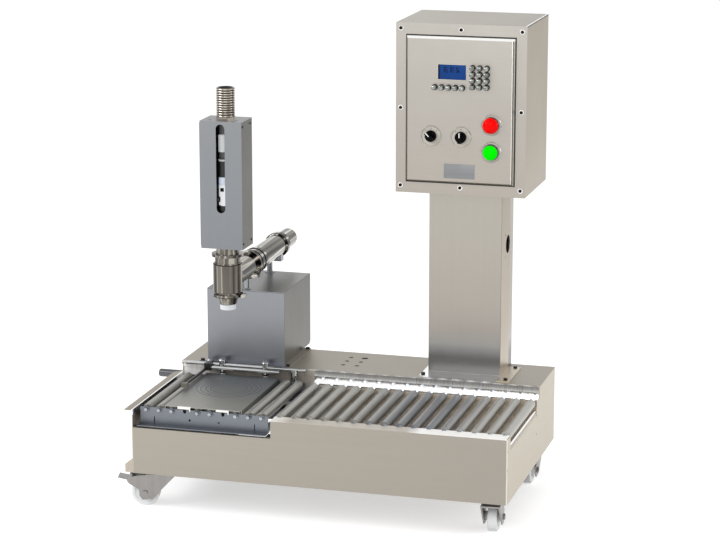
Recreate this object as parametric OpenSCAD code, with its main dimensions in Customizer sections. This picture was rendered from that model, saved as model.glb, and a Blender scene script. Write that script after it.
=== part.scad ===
// Liquid filling machine: sheet metal base on casters with a roller conveyor and a
// weigh section, a filling head raised on two posts, and a control cabinet on a column.
// Millimetres. x runs along the conveyor, y from the operator to the back, z up.

/* [Base] */
// Length of the base along the conveyor
base_length = 1000; // [1000:5:1040]
// Depth of the base from front to back
base_depth = 600; // [600:5:640]
// Height of the base's bottom edge over the floor
ground_gap = 100; // [98:1:106]
// Height of the conveyor rails over the base's bottom edge
rail_rise = 172; // [168:2:190]
// Height of the deck plate over the base's bottom edge
deck_rise = 203; // [201:1:220]
// Height of the front panel in front of the weigh section
bay_rise = 124; // [118:1:126]
// Sheet thickness of the panels
sheet = 2.5; // [2:0.25:3]
// Side of the square frame tube inside the base
tube_side = 30; // [25:1:34]

/* [Conveyor] */
// Diameter of every roller
roller_d = 25; // [24:0.5:26]
// Length of a conveyor roller
roller_len = 307; // [300:1:310]
// Distance between conveyor rollers
roller_pitch = 39.6; // [38.6:0.1:39.6]
// Depth of a roller axis under the rail's top
axis_drop = 5; // [4:0.5:6]
// Diameter of a roller shaft
shaft_d = 8; // [7:0.5:9]
// Width of a shaft's hexagonal end over its flats
hex_flats = 11; // [10:0.5:11.5]
// Clear width between the two notched rails
rail_span = 330; // [328:1:332]
// Width of the front rail's top flange
rail_flange = 42; // [41:1:42]

/* [Weigh section] */
// Distance between weigh rollers
weigh_pitch = 35; // [34.5:0.5:35]
// Diameter of the axle pins in the weigh frame
pin_d = 8.6; // [8:0.2:9]
// Width of the platform plate along the conveyor
platform_w = 205; // [200:1:205]
// Thickness of the platform plate
platform_t = 2; // [1.5:0.5:3]
// Radii of the rings cut in the platform plate
ring_r1 = 51; // [40:1:58]
// Second ring
ring_r2 = 64; // [60:1:70]
// Third ring
ring_r3 = 78; // [73:1:83]
// Fourth ring
ring_r4 = 89; // [86:1:95]

/* [Guide] */
// Diameter of the guide rods
rod_d = 10; // [9:0.5:10]
// Diameter of the posts that hold the rods
guide_post_d = 17; // [16:0.5:19]
// Length of the black arm over the weigh section
arm_len = 168; // [150:2:190]

/* [Lift and filling head] */
// Width of the lift housing
lift_w = 220; // [200:2:226]
// Height of the lift housing
lift_h = 201; // [170:1:201]
// Diameter of the two lift posts
post_d = 15.5; // [14:0.5:17]
// Height the head can be raised
lift_travel = 150; // [100:10:150]
// Height of the inlet pipe over the deck
pipe_rise = 278.6; // [278:0.2:300]
// Outer diameter of the inlet pipe
pipe_d = 61; // [57:1:61]
// Diameter of the filling body
body_d = 77; // [74:1:79]
// Diameter of the valve stem
stem_d = 12; // [10:0.5:13]
// Travel of the valve stem when it fills
stem_travel = 20; // [12:1:24]
// Diameter of the white outlet tip
tip_d = 42; // [38:0.5:44]
// Width of the head housing
housing_w = 114; // [106:1:120]
// Depth of the head housing
housing_d = 88; // [86:1:96]
// Height of the head housing
housing_h = 338; // [338:1:350]
// Width of the slot in the head housing
slot_w = 24; // [20:1:28]
// Outer diameter of the ribbed tube
rib_tube_d = 48; // [44:1:52]

/* [Cabinet and column] */
// Width of the column
column_w = 198; // [180:2:204]
// Depth of the column
column_d = 141; // [120:1:141]
// Height of the column over the deck
column_h = 504; // [480:4:540]
// Width of the cabinet
cabinet_w = 347.6; // [340:0.4:364]
// Depth of the cabinet
cabinet_d = 273.6; // [260:0.4:280]
// Height of the cabinet
cabinet_h = 448.5; // [440:0.5:460]
// How far the panel with the controls stands out
pan_rise = 14; // [11:0.5:15]
// Diameter of a key
key_d = 12.6; // [11:0.2:13]
// Diameter of the red button
stop_d = 32; // [28:1:38]
// Diameter of the green button
start_d = 28; // [24:1:30]
// Travel of the two round buttons
button_travel = 4; // [3:0.5:5]

/* [Casters] */
// Diameter of a caster wheel
wheel_d = 75; // [73:0.5:77]
// Width of a caster wheel
wheel_w = 26; // [24:1:28]
// Distance from the swivel to the wheel's axle
trail = 34; // [31:1:36]

/* [Hidden] */
$fn = 48;
// clearances
fit = 0.05;
easy = 0.2;
// between welded or seated solids
weld = 0.05;
// base, from the outside in
half = base_length / 2;
zb = ground_gap;
rail_z = zb + rail_rise;
deck_z = zb + deck_rise;
bay_z = zb + bay_rise;
inner = half - sheet;
front_lip_y = rail_flange - sheet;
rear_lip_y = rail_flange + rail_span;
deck_front = rear_lip_y + 23;
deck_lip = 17.5;
hole_x = 340.5;
hole_y = 69.6;
hole_dx = 39.4;
hole_dy = 40.5;
tube_wall = 2.5;
upright_y = deck_front + 60;
corner_t = 4;
corner_w = 55;
corner_d = 40;
rail_lip = 26;
exit_front = 36;
exit_back = 362;
exit_depth = 32;
low_flange = 12.5;
side_flange = 20;
gusset_out = 22;
gusset_top = 40;
gusset_side = 22;
stub_d = 22;
stub_len = 80;
stub_y = deck_front + 32;
stub_z = deck_z - 50;
collar_d = 30;
collar_t = 6;
// conveyor
axis_z = rail_z - axis_drop;
roller_y = rail_flange + 1.5;
last_x = half - 14.5;
first_x = last_x - 15 * roller_pitch;
bay_edge = first_x - 13;
wall_r = 1.5;
head_t = 8;
shaft_y0 = front_lip_y - 4;
shaft_y1 = rear_lip_y + 8;
notch_w = hex_flats + 2 * easy;
tray_z = axis_z - 42;
tray_wall = 22;
bead_r = 3;
// weigh section
weigh_x = -half + 187;
weigh_half = 175;
weigh_y0 = 33;
weigh_y1 = 367;
weigh_top = axis_z + 5.5;
weigh_fold = axis_z - 37.5;
weigh_foot = 40;
weigh_ledge = 27;
slit_w = 2.4;
washer_d = 16;
washer_t = 2;
weigh_roller_y = 39.5;
weigh_roller_len = 321.5;
pin_y0 = 25;
pin_y1 = 374;
plate_x0 = weigh_x - 104;
plate_y0 = weigh_y0 - sheet;
plate_y1 = 360;
plate_z = axis_z + roller_d / 2;
tab_w = 35;
tab_h = 4;
hook_h = 9;
hook_out = 3;
flange_h = 12;
cell_w = 170;
cell_d = 40;
cell_h = 32;
cell_x = weigh_x - 85;
cell_y = 180;
bar_drop = 21.5;
beam_h = weigh_fold - cell_h - bar_drop - zb;
// guide
guide_y = 385;
guide_z = rail_z - 30;
rod_z = deck_z - 2;
rod_x0 = weigh_x - 184;
rod_len = 355;
front_rod_y = guide_y - guide_post_d / 2 - rod_d / 2 - 0.6;
front_rod_z = rod_z - 6;
guide_post_x = [weigh_x - 69, weigh_x + 55];
guide_last_x = weigh_x + 136;
cap_d = 20;
clamp_x = weigh_x - 104;
clamp_w = 9;
clamp_h = 7;
arm_d = 8;
pad_w = 12;
pad_l = 16;
pad_h = 12;
knob_d = 15;
// lift and head
head_x = weigh_x + 3;
head_y = 231;
lift_x = head_x - 12;
lift_y = deck_front + 18;
lift_d = 244;
foot_t = 3;
lift_wall = 2.5;
lift_top = 6;
lift_z = deck_z + foot_t;
lift_chamfer = 8;
foot_tab = 19;
bolt_in = 9;
bolt_out = 12;
bolt_l = 5.4;
head_r = 5.5;
pipe_z = deck_z + pipe_rise;
post_x = head_x - 15;
post_y = [lift_y + 17, lift_y + 227];
bush_hold = 14;
post_z = lift_z + lift_h - bush_hold - lift_travel;
bush_d = 26;
body_z = pipe_z - 39.6;
// heights on the filling body, from its cone upward
cone_z = body_z - 31;
neck_z = body_z + 81;
ferrule_z = body_z + 103;
collar_z = body_z + 110;
house_z = body_z + 129;
chamber_r = 20;
branch_end = lift_y - 7;
pipe_ring_y = post_y[1] + 17;
ring_l = 20;
pipe_bore = pipe_d - 5;
pipe_len = 360;
pipe_end = branch_end + pipe_len;
housing_wall = 3;
end_t = 4;
stem_hold = 108;
stem_top = house_z + stem_hold + stem_travel;
slot_z = house_z + 96;
slot_h = 234;
act_y = head_y;
rib_h = 83;
// column and cabinet
column_inset = 220.5;
column_x = half - column_inset;
column_y = base_depth - column_d;
column_t = 3;
foot_side = 36;
foot_left = 13;
foot_front = 50;
foot_back = 100;
cable_d = 49;
cable_y = column_y + 77;
cable_rise = 349;
cable_z = deck_z + cable_rise;
cable_sx = 64;
cable_sz = 61;
cab_x = column_x - 1.7;
cab_y = deck_front + 1;
cab_z = deck_z + column_h;
cover_t = 2.5;
shell_t = 2;
shell_flange = 26;
pan_w = 290;
pan_h = 387;
pan_z = cab_z + 30.5;
pan_bevel = 7.2;
face_y = cab_y - pan_rise;
screw_dx = 161;
screw_z = [18.7, 225.3, 434];
lcd_w = 74.6;
lcd_h = 39;
lcd_x = cab_x - 20.2;
lcd_z = cab_z + 325.4;
key_len = 15;
key_flange = 15;
key_px = 18.3;
pad_px = 18.85;
pad_pz = 16.5;
disc_r = 27;
disc_t = 1;
knob_r = 15;
spindle_d = 10;
selector_x = [cab_x - 75.1, cab_x + 5.1];
selector_z = cab_z + 156;
button_x = cab_x + 85.6;
stop_z = cab_z + 191.3;
start_z = cab_z + 120.1;
label_w = 82;
label_h = 38;
label_z = cab_z + 46;
// casters
plate_t = 3;
pivot_d = 12;
fork_top = zb - plate_t;
fork_w = 50;
fork_t = 4;
axle_d = 10;
caster_x = half - 50;
caster_y = [60, base_depth - 60];
turn_fl = 192;
turn_fr = 95;
turn_rl = 262;
turn_rr = 270;
pedal_x = 75;
pedal_z = zb - 29;
pedal_pin = 5;
// frame: the middle of the whole machine over the floor
mid_x = (half - (half + stub_len)) / 2;
mid_y = pipe_end / 2;

module in_frame() {
    translate([-mid_x, -mid_y, 0]) children();
}

// a box given by its two corners
module block(a, b) {
    translate(a) cube(b - a);
}

// a cylinder along +y
module rod_y(x, y, z, r, l) {
    translate([x, y, z]) rotate([-90, 0, 0]) cylinder(h = l, r = r);
}

// a cylinder along +x
module rod_x(x, y, z, r, l) {
    translate([x, y, z]) rotate([0, 90, 0]) cylinder(h = l, r = r);
}

function roller_x(i) = first_x + i * roller_pitch;
function slot_x(i) = weigh_x + weigh_pitch * (i - 4.5);

// base

module front_panel() {
    color("tan") in_frame() difference() {
        union() {
            block([-inner, 0, zb], [bay_edge, sheet, bay_z]);
            block([bay_edge, 0, zb], [inner, sheet, rail_z]);
            block([-inner, 0, bay_z - sheet], [bay_edge + 0.1, low_flange, bay_z]);
            block([bay_edge, 0, rail_z - sheet], [inner, rail_flange, rail_z]);
            block([bay_edge, front_lip_y, rail_z - rail_lip], [inner, rail_flange, rail_z]);
            block([bay_edge, 0, bay_z - sheet], [bay_edge + sheet, front_lip_y + 0.1, rail_z]);
            block([inner - sheet, 0, zb], [inner, sheet + tube_side, rail_z]);
        }
        for (i = [0:15]) {
            shaft_notch(roller_x(i), shaft_y0 - 1, rail_flange + 1);
        }
        for (s = panel_screws()) {
            rod_x(half - 10, s[0], s[1], 2 + easy / 2, 20);
        }
    }
}

// the opening in a rail that takes the hexagonal end of a shaft from above
module shaft_notch(x, y0, y1) {
    drop = hex_flats / sqrt(3);
    block([x - notch_w / 2, y0, axis_z - drop], [x + notch_w / 2, y1, rail_z + 1]);
}

function panel_screws() = [[5, rail_z - 33], [5, rail_z - 82]];
function rear_screws() = [[exit_back + 2, rail_z - 40], [exit_back + 2, rail_z - 91]];

module left_panel() {
    color("tan") in_frame() {
        difference() {
            union() {
                block([-half, 0, zb], [-inner, base_depth, rail_z]);
                block([-half, deck_front, zb], [-inner, base_depth, deck_z - sheet]);
                difference() {
                    block([-half - side_flange, 0, rail_z - sheet], [-inner, deck_front, rail_z]);
                    translate([-half - side_flange, deck_front, rail_z - 5])
                        rotate([0, 0, 45]) cube([24, 24, 20], center = true);
                }
                translate([-half, 2 * sheet, 0]) rotate([90, 0, 0])
                    linear_extrude(sheet) polygon([[0, zb], [0, zb + gusset_top],
                        [-gusset_out, zb + gusset_side], [-gusset_out, zb]]);
                block([-half - gusset_out, sheet, zb], [-half, exit_front, zb + sheet]);
            }
            rod_x(-half - 5, stub_y, stub_z, stub_d / 2 + easy, 20);
        }
        conduit_stub();
    }
}

module conduit_stub() {
    translate([-half - stub_len, stub_y, stub_z]) rotate([0, 90, 0]) rotate_extrude()
        polygon([[0, 0], [stub_d / 2 - 4, 0], [stub_d / 2 - 1.5, 1], [stub_d / 2, 4],
            [stub_d / 2, stub_len - collar_t], [collar_d / 2, stub_len - collar_t],
            [collar_d / 2, stub_len], [stub_d / 2, stub_len],
            [stub_d / 2, stub_len + sheet], [collar_d / 2, stub_len + sheet],
            [collar_d / 2, stub_len + sheet + collar_t], [0, stub_len + sheet + collar_t]]);
}

module right_panel() {
    color("tan") in_frame() difference() {
        translate([inner, 0, 0]) rotate([90, 0, 90]) linear_extrude(sheet)
            polygon([[0, zb], [base_depth, zb], [base_depth, deck_z - sheet],
                [deck_front, deck_z - sheet], [deck_front, rail_z], [exit_back, rail_z],
                [exit_back, rail_z - exit_depth], [exit_front, rail_z - exit_depth],
                [exit_front, rail_z], [0, rail_z]]);
        for (s = concat(panel_screws(), rear_screws())) {
            rod_x(half - 10, s[0], s[1], 2 + easy / 2, 20);
            rod_x(half - 1.6, s[0], s[1], 3 + easy / 2, 3);
        }
    }
}

module rear_panel() {
    color("tan") in_frame() difference() {
        union() {
            block([-inner, base_depth - sheet, zb], [inner, base_depth, deck_z - sheet]);
            block([-inner, base_depth - 20, deck_z - 2 * sheet],
                [inner, base_depth, deck_z - sheet]);
        }
        for (x = [-150, 150], k = [0:5]) {
            block([x - 40, base_depth - sheet - 1, zb + 60 + k * 14],
                [x + 40, base_depth + 1, zb + 64 + k * 14]);
        }
    }
}

function deck_holes() = [for (x = [0, hole_dx], k = [0:2])
    [column_x - hole_x + x, deck_front + hole_y + k * hole_dy, (x > 0 && k == 2) ? 9 : 6]];

module deck_plate() {
    color("tan") in_frame() difference() {
        union() {
            block([-half, deck_front, deck_z - sheet], [half, base_depth, deck_z]);
            block([-inner + weld, deck_front, deck_z - deck_lip],
                [inner - weld, deck_front + sheet, deck_z - sheet + 0.1]);
        }
        for (h = deck_holes()) {
            translate([h[0], h[1], deck_z - 10]) cylinder(h = 20, r = h[2]);
        }
        for (p = concat(lift_bolts(), column_bolts())) {
            translate([p[0], p[1], deck_z - 10]) cylinder(h = 20, r = 3 + easy / 2);
        }
        translate([column_x, column_y + column_d / 2, deck_z - 10]) cylinder(h = 20, r = 30);
    }
}

// a square tube, open at both ends of its longest side
module frame_bar(a, b) {
    d = b - a;
    in = [for (k = [0:2]) d[k] == max(d) ? -1 : tube_wall];
    difference() {
        block(a, b);
        block(a + in, b - in);
    }
}

module chassis_frame() {
    y1 = base_depth - sheet;
    front_in = sheet + tube_side + weld;
    rear_in = y1 - tube_side - weld;
    on_bar = zb + tube_side + weld;
    under_deck = deck_z - sheet;
    top_bar = deck_z - 2 * sheet - tube_side;
    color("dimgray") in_frame() {
        frame_bar([-inner, sheet, zb], [inner - sheet - weld, sheet + tube_side, zb + tube_side]);
        frame_bar([-inner, y1 - tube_side, zb], [inner, y1, zb + tube_side]);
        frame_bar([-inner, y1 - tube_side, top_bar], [inner, y1, top_bar + tube_side]);
        for (x = [-inner, inner - tube_side]) {
            frame_bar([x, front_in, zb], [x + tube_side, rear_in, zb + tube_side]);
            frame_bar([x, y1 - tube_side, on_bar], [x + tube_side, y1, top_bar - weld]);
            frame_bar([x, upright_y, on_bar], [x + tube_side, upright_y + tube_side, under_deck]);
        }
        // the beam under the load cell
        frame_bar([cell_x, front_in, zb], [cell_x + cell_d, rear_in, zb + beam_h]);
        // front uprights
        frame_bar([-inner, sheet, on_bar], [tube_side - inner, sheet + tube_side, bay_z - sheet]);
        frame_bar([inner - sheet - tube_side, sheet, on_bar],
            [inner - sheet, sheet + tube_side, rail_z - sheet]);
        // beams under the deck and the strip behind the rear rail
        for (x = [lift_x + lift_w / 2 + tube_side, column_x - column_w / 2 - cell_d]) {
            frame_bar([x, deck_front + 2 * sheet + 8 + weld, under_deck - tube_side],
                [x + tube_side, rear_in, under_deck]);
        }
        block([-inner, deck_front + 2 * sheet, under_deck - tube_side - 20],
            [inner, deck_front + 2 * sheet + 8, under_deck - 20]);
        // corner plates and the fixed halves of the casters
        for (s = [-1, 1]) {
            xs = s > 0 ? [caster_x - corner_w, inner - tube_side - weld]
                : [tube_side + weld - inner, corner_w - caster_x];
            block([xs[0], front_in, zb], [xs[1], caster_y[0] + corner_d, zb + corner_t]);
            block([xs[0], caster_y[1] - corner_d, zb], [xs[1], rear_in, zb + corner_t]);
            for (y = caster_y) {
                translate([s * caster_x, y, 0]) caster_plate();
            }
        }
    }
}

// the fixed half of a caster: plate, pivot and its nut
module caster_plate() {
    difference() {
        translate([-47.5, -32.5, fork_top]) cube([95, 65, plate_t - weld]);
        for (x = [-38, 38], y = [-23, 23]) {
            translate([x, y, zb - 10]) cylinder(h = 20, r = 4.2);
        }
    }
    translate([0, 0, fork_top - 15]) cylinder(h = 15 - weld, r = pivot_d / 2);
    translate([0, 0, fork_top - 19]) cylinder(h = 4.4, r = 10, $fn = 6);
}

// conveyor

module roller_bed() {
    x0 = bay_edge;
    y1 = rear_lip_y;
    color("lightgray") in_frame() {
        difference() {
            union() {
                // tray between the rails
                block([x0, rail_flange, tray_z - 2], [inner, y1, tray_z]);
                block([x0, rail_flange, tray_z - 2], [inner, rail_flange + 2, tray_z + tray_wall]);
                block([x0, y1 - 2, tray_z - 2], [inner, y1, tray_z + tray_wall]);
                for (x = [x0, inner - 2]) {
                    block([x, rail_flange, tray_z - 2], [x + 2, y1, tray_z + tray_wall - 3]);
                    rod_y(x == x0 ? x0 + bead_r : inner - bead_r, rail_flange, tray_z + tray_wall - bead_r,
                        bead_r, rail_span);
                }
                // rear rail
                block([-inner, deck_front + sheet, rail_z - sheet],
                    [inner, deck_front + 2 * sheet, deck_z - sheet]);
                block([x0, y1, rail_z - sheet], [inner, deck_front + 2 * sheet, rail_z]);
                block([x0, y1, rail_z - rail_lip], [inner, y1 + sheet, rail_z]);
                // behind the weigh section the rail runs lower and carries the guide's posts
                block([-inner, deck_front + sheet, guide_z - sheet],
                    [x0 + 1, deck_front + 2 * sheet, rail_z]);
                block([-inner, y1 + 3.5, guide_z - sheet], [x0 + 1, deck_front + 2 * sheet, guide_z]);
                // standing ribs that carry the tray and the rear rail
                for (x = [x0, inner - tube_side]) {
                    block([x, y1, zb + tube_side], [x + tube_side, y1 + sheet, rail_z - sheet]);
                }
            }
            for (i = [0:15]) {
                shaft_notch(roller_x(i), y1 - 1, shaft_y1 + 1);
            }
            for (s = rear_screws()) {
                rod_x(half - 20, s[0], s[1], 4, 20);
            }
        }
    }
}

module roller_shafts() {
    color("silver") in_frame() for (i = [0:15]) {
        x = roller_x(i);
        union() {
            rod_y(x, shaft_y0, axis_z, shaft_d / 2, shaft_y1 - shaft_y0);
            for (y = [shaft_y0, roller_y + roller_len + easy]) {
                translate([x, y, axis_z]) rotate([-90, 0, 0]) rotate([0, 0, 30])
                    cylinder(h = y > 100 ? shaft_y1 - y : roller_y - easy - y,
                        r = hex_flats / sqrt(3), $fn = 6);
            }
        }
    }
}

// tube with two bearing ends
module roller(x, y, l, bore) {
    difference() {
        union() {
            rod_y(x, y + 1, axis_z, roller_d / 2, l - 2);
            rod_y(x, y, axis_z, roller_d / 2 - 1, l);
        }
        rod_y(x, y - 1, axis_z, bore / 2 + fit, l + 2);
        rod_y(x, y + head_t, axis_z, roller_d / 2 - wall_r, l - 2 * head_t);
    }
}

module conveyor_roller(i) {
    color("gray") in_frame() roller(roller_x(i), roller_y, roller_len, shaft_d);
}

module roller_01() { conveyor_roller(0); }
module roller_02() { conveyor_roller(1); }
module roller_03() { conveyor_roller(2); }
module roller_04() { conveyor_roller(3); }
module roller_05() { conveyor_roller(4); }
module roller_06() { conveyor_roller(5); }
module roller_07() { conveyor_roller(6); }
module roller_08() { conveyor_roller(7); }
module roller_09() { conveyor_roller(8); }
module roller_10() { conveyor_roller(9); }
module roller_11() { conveyor_roller(10); }
module roller_12() { conveyor_roller(11); }
module roller_13() { conveyor_roller(12); }
module roller_14() { conveyor_roller(13); }
module roller_15() { conveyor_roller(14); }
module roller_16() { conveyor_roller(15); }

// weigh section

module weigh_frame() {
    x0 = weigh_x - weigh_half;
    x1 = weigh_x + weigh_half;
    color("lightslategray") in_frame() {
        difference() {
            union() {
                for (y = [weigh_y0, weigh_y1 - sheet]) {
                    block([x0, y, weigh_fold], [x1, y + sheet, weigh_top]);
                }
                // the front wall's fold runs out to the front panel, the rear one's inwards
                for (y = [weigh_y0 - weigh_ledge, weigh_y1 - weigh_foot]) {
                    block([x0, y, weigh_fold - sheet], [x1, y + weigh_foot, weigh_fold - weld]);
                }
                // end walls
                for (x = [x0, x1 - sheet]) {
                    block([x, weigh_y0 + sheet + weld, weigh_fold],
                        [x + sheet, weigh_y1 - sheet - weld, axis_z - 14]);
                }
                // cross bar over the free end of the load cell
                block([cell_x + cell_w - cell_d, weigh_y0 + 4, weigh_fold - bar_drop],
                    [cell_x + cell_w, weigh_y1 - 4, weigh_fold - sheet - weld]);
            }
            for (i = [0:9]) {
                block([slot_x(i) - pin_d / 2 - easy / 2, weigh_y0 - 1, axis_z],
                    [slot_x(i) + pin_d / 2 + easy / 2, weigh_y1 + 1, weigh_top + 1]);
                rod_y(slot_x(i), weigh_y0 - 1, axis_z, pin_d / 2 + easy / 2, weigh_y1 + 2 - weigh_y0);
            }
            for (x = [weigh_x - 136, weigh_x + 138.5]) {
                block([x - slit_w / 2, weigh_y0 - 1, weigh_fold + 0.5],
                    [x + slit_w / 2, weigh_y0 + 5, weigh_fold + 19]);
            }
            for (x = [weigh_x - 39, weigh_x + 40.5]) {
                rod_y(x, weigh_y0 - 1, axis_z - 22, 3, 6);
            }
        }
        for (i = [0:9]) {
            if (i != 3 && i != 6) {
                rod_y(slot_x(i), pin_y0, axis_z, pin_d / 2, pin_y1 - pin_y0);
                rod_y(slot_x(i), weigh_y0 - washer_t - weld, axis_z, washer_d / 2, washer_t);
            }
        }
    }
}

module weigh_roller(i) {
    roller(slot_x(i), weigh_roller_y, weigh_roller_len, pin_d);
}

module covered_rollers() {
    color("gray") in_frame() for (i = [2, 4, 5, 7]) {
        weigh_roller(i);
    }
}

module weigh_roller_1() { color("gray") in_frame() weigh_roller(0); }
module weigh_roller_2() { color("gray") in_frame() weigh_roller(1); }
module weigh_roller_3() { color("gray") in_frame() weigh_roller(8); }
module weigh_roller_4() { color("gray") in_frame() weigh_roller(9); }

module weigh_platform() {
    x1 = plate_x0 + platform_w;
    top = plate_z + platform_t;
    color("slategray") in_frame() difference() {
        union() {
            block([plate_x0, plate_y0, plate_z], [x1, plate_y1, top]);
            block([x1 - 0.01, weigh_y0 + sheet + 0.5, plate_z - flange_h], [x1 + 2, plate_y1, top]);
            block([plate_x0 - 2, plate_y0, plate_z - 6], [plate_x0 + 0.01, plate_y1, top]);
            for (i = [3, 6]) {
                block([slot_x(i) - tab_w / 2, plate_y0 - hook_out, plate_z - tab_h],
                    [slot_x(i) + tab_w / 2, weigh_y0 - 0.1, top]);
                block([slot_x(i) + tab_w / 2 - 3, plate_y0 - hook_out, plate_z - hook_h],
                    [slot_x(i) + tab_w / 2, weigh_y0 - 0.1, top]);
                block([slot_x(i) - tab_w / 2, plate_y1 - 0.01, plate_z],
                    [slot_x(i) + tab_w / 2, plate_y1 + 8, top]);
            }
        }
        for (r = [ring_r1, ring_r2, ring_r3, ring_r4]) {
            translate([head_x, head_y, top - 0.5]) rotate_extrude($fn = 64)
                translate([r - 0.6, 0]) square([1.2, 2]);
        }
    }
}

module load_cell() {
    z0 = zb + beam_h;
    color("silver") in_frame() difference() {
        block([cell_x, cell_y, z0], [cell_x + cell_w, cell_y + cell_d, z0 + cell_h]);
        for (x = [-13, 13]) {
            rod_y(cell_x + cell_w / 2 + x, cell_y - 1, z0 + cell_h / 2, 11, cell_d + 2);
        }
    }
}

// guide

module guide_stand() {
    color("silver") in_frame() {
        difference() {
            union() {
                for (x = guide_post_x) {
                    translate([x, guide_y, guide_z]) cylinder(h = deck_z + 9 - guide_z, r = guide_post_d / 2);
                    translate([x, guide_y, deck_z + 5]) cylinder(h = 6, r = cap_d / 2);
                    translate([x, guide_y, deck_z + 11]) rotate_extrude()
                        polygon([[0, 0], [cap_d / 2, 0], [cap_d / 2 - 1, 2], [cap_d / 2 - 4, 4.4], [0, 5]]);
                }
                translate([guide_last_x, guide_y, guide_z])
                    cylinder(h = rod_z - guide_z - 1, r = guide_post_d / 2);
            }
            rod_x(rod_x0 - 50, guide_y, rod_z, rod_d / 2 + fit, rod_len + 100);
        }
    }
}

module guide_rods() {
    arm_z = front_rod_z - 3;
    arm_x = clamp_x - clamp_w + arm_d / 2;
    color("silver") in_frame() {
        rod_x(rod_x0, guide_y, rod_z, rod_d / 2, rod_len);
        rod_x(clamp_x + clamp_w + 0.1, front_rod_y, front_rod_z, rod_d / 2,
            weigh_x + 100 - clamp_x - clamp_w - 0.1);
        // cross clamp around both rods
        difference() {
            block([clamp_x - clamp_w, front_rod_y - 9, front_rod_z - clamp_h],
                [clamp_x + clamp_w, guide_y + 9, rod_z + clamp_h]);
            rod_x(clamp_x - 20, guide_y, rod_z, rod_d / 2 + 0.01, 40);
        }
        // domed knob with its screw
        translate([clamp_x, guide_y - 2, rod_z + clamp_h + 0.05]) rotate_extrude()
            polygon([[0, 0], [3, 0], [3, 1], [knob_d / 2, 1], [knob_d / 2, 4], [knob_d / 2 - 2, 6.4], [0, 8]]);
        rod_y(arm_x, front_rod_y - 9.05 - arm_len, arm_z, arm_d / 2, arm_len);
        difference() {
            block([arm_x - pad_l / 2, front_rod_y - 9 - arm_len - pad_w + 6, arm_z - pad_h / 2],
                [arm_x + pad_l / 2, front_rod_y - 9 - arm_len + 6, arm_z + pad_h / 2]);
            rod_y(arm_x, front_rod_y - 9.1 - arm_len, arm_z, arm_d / 2 + 0.05, 20);
        }
    }
}

// lift

function lift_bolts() = [for (s = [-1, 1], y = [deck_front + bolt_in, base_depth - bolt_in + 1])
    [lift_x + s * (lift_w / 2 + bolt_out), y]];

module lift_housing() {
    x0 = lift_x - lift_w / 2;
    x1 = lift_x + lift_w / 2;
    y0 = lift_y;
    y1 = lift_y + lift_d;
    z1 = lift_z + lift_h;
    t = lift_wall;
    c = lift_chamfer;
    in0 = y0 + t + weld;
    in1 = y1 - t - weld;
    color("slategray") in_frame() {
        // front and back
        block([x0, y0, lift_z], [x1, y0 + t, z1]);
        block([x0, y1 - t, lift_z + c], [x1, y1, z1]);
        // sloping strip under the back
        translate([x0, 0, 0]) rotate([90, 0, 90]) linear_extrude(lift_w)
            polygon([[y1 - c + weld, lift_z], [y1, lift_z + c - weld], [y1 - t, lift_z + c - weld],
                [y1 - c + weld, lift_z + t]]);
        // sides
        for (x = [x0, x1 - t]) {
            translate([x, 0, 0]) rotate([90, 0, 90]) linear_extrude(t)
                polygon([[in0, lift_z], [y1 - c, lift_z], [y1 - c, lift_z + t + weld],
                    [in1, lift_z + c], [in1, z1], [in0, z1]]);
        }
        // floor, and the top that holds the guide tubes
        block([x0 + t + weld, in0, lift_z], [x1 - t - weld, y1 - c, lift_z + t]);
        difference() {
            block([x0 + t + weld, in0, z1 - lift_top], [x1 - t - weld, in1, z1]);
            for (y = post_y) {
                translate([post_x, y, z1 - lift_top - 1]) cylinder(h = lift_top + 2, r = bush_d / 2 + weld);
            }
        }
        // guide tubes of the posts
        for (y = post_y) {
            translate([post_x, y, lift_z + c]) difference() {
                cylinder(h = lift_h - c + 2, r = bush_d / 2);
                translate([0, 0, -1]) cylinder(h = lift_h + 10, r = post_d / 2 + fit);
            }
        }
        // foot flange on the deck
        difference() {
            block([x0 - foot_tab, deck_front + 1, deck_z], [x1 + foot_tab, base_depth, lift_z - weld]);
            for (p = lift_bolts()) {
                translate([p[0], p[1], deck_z - 1]) cylinder(h = 20, r = 3 + easy / 2);
            }
        }
    }
}

module lift_posts() {
    color("silver") in_frame() {
        for (y = post_y) {
            difference() {
                union() {
                    translate([post_x, y, post_z]) cylinder(h = pipe_z - pipe_d / 2 - 6 - post_z, r = post_d / 2);
                    block([post_x - 16, y - 11, pipe_z - pipe_d / 2 - 9], [head_x + 22, y + 11, pipe_z - 16]);
                }
                rod_y(head_x, y - 20, pipe_z, pipe_d / 2 + 0.05, 40);
                pipe_collars(0.05);
            }
        }
    }
}

// filling head

// the collars near the front saddle, larger by g all round
module pipe_collars(g) {
    for (c = [[24, 35, 9], [36, 33.5, 12], [52, 35, 15]]) {
        rod_y(head_x, branch_end + c[0] - g, pipe_z, c[1] + g, c[2] + 2 * g);
    }
}

module inlet_pipe() {
    color("silver") in_frame() difference() {
        union() {
            rod_y(head_x, branch_end, pipe_z, pipe_d / 2, pipe_ring_y - branch_end);
            rod_y(head_x, branch_end, pipe_z, 39, 6);
            pipe_collars(0);
            rod_y(head_x, pipe_ring_y, pipe_z, 35, ring_l);
            rod_y(head_x, pipe_ring_y + ring_l - 1, pipe_z, 26, pipe_end - pipe_ring_y - ring_l + 1);
        }
        rod_y(head_x, branch_end - 1, pipe_z, pipe_bore / 2, pipe_ring_y + 10 - branch_end);
        rod_y(head_x, branch_end - 1, pipe_z, 23, pipe_len + 2);
    }
}

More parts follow.
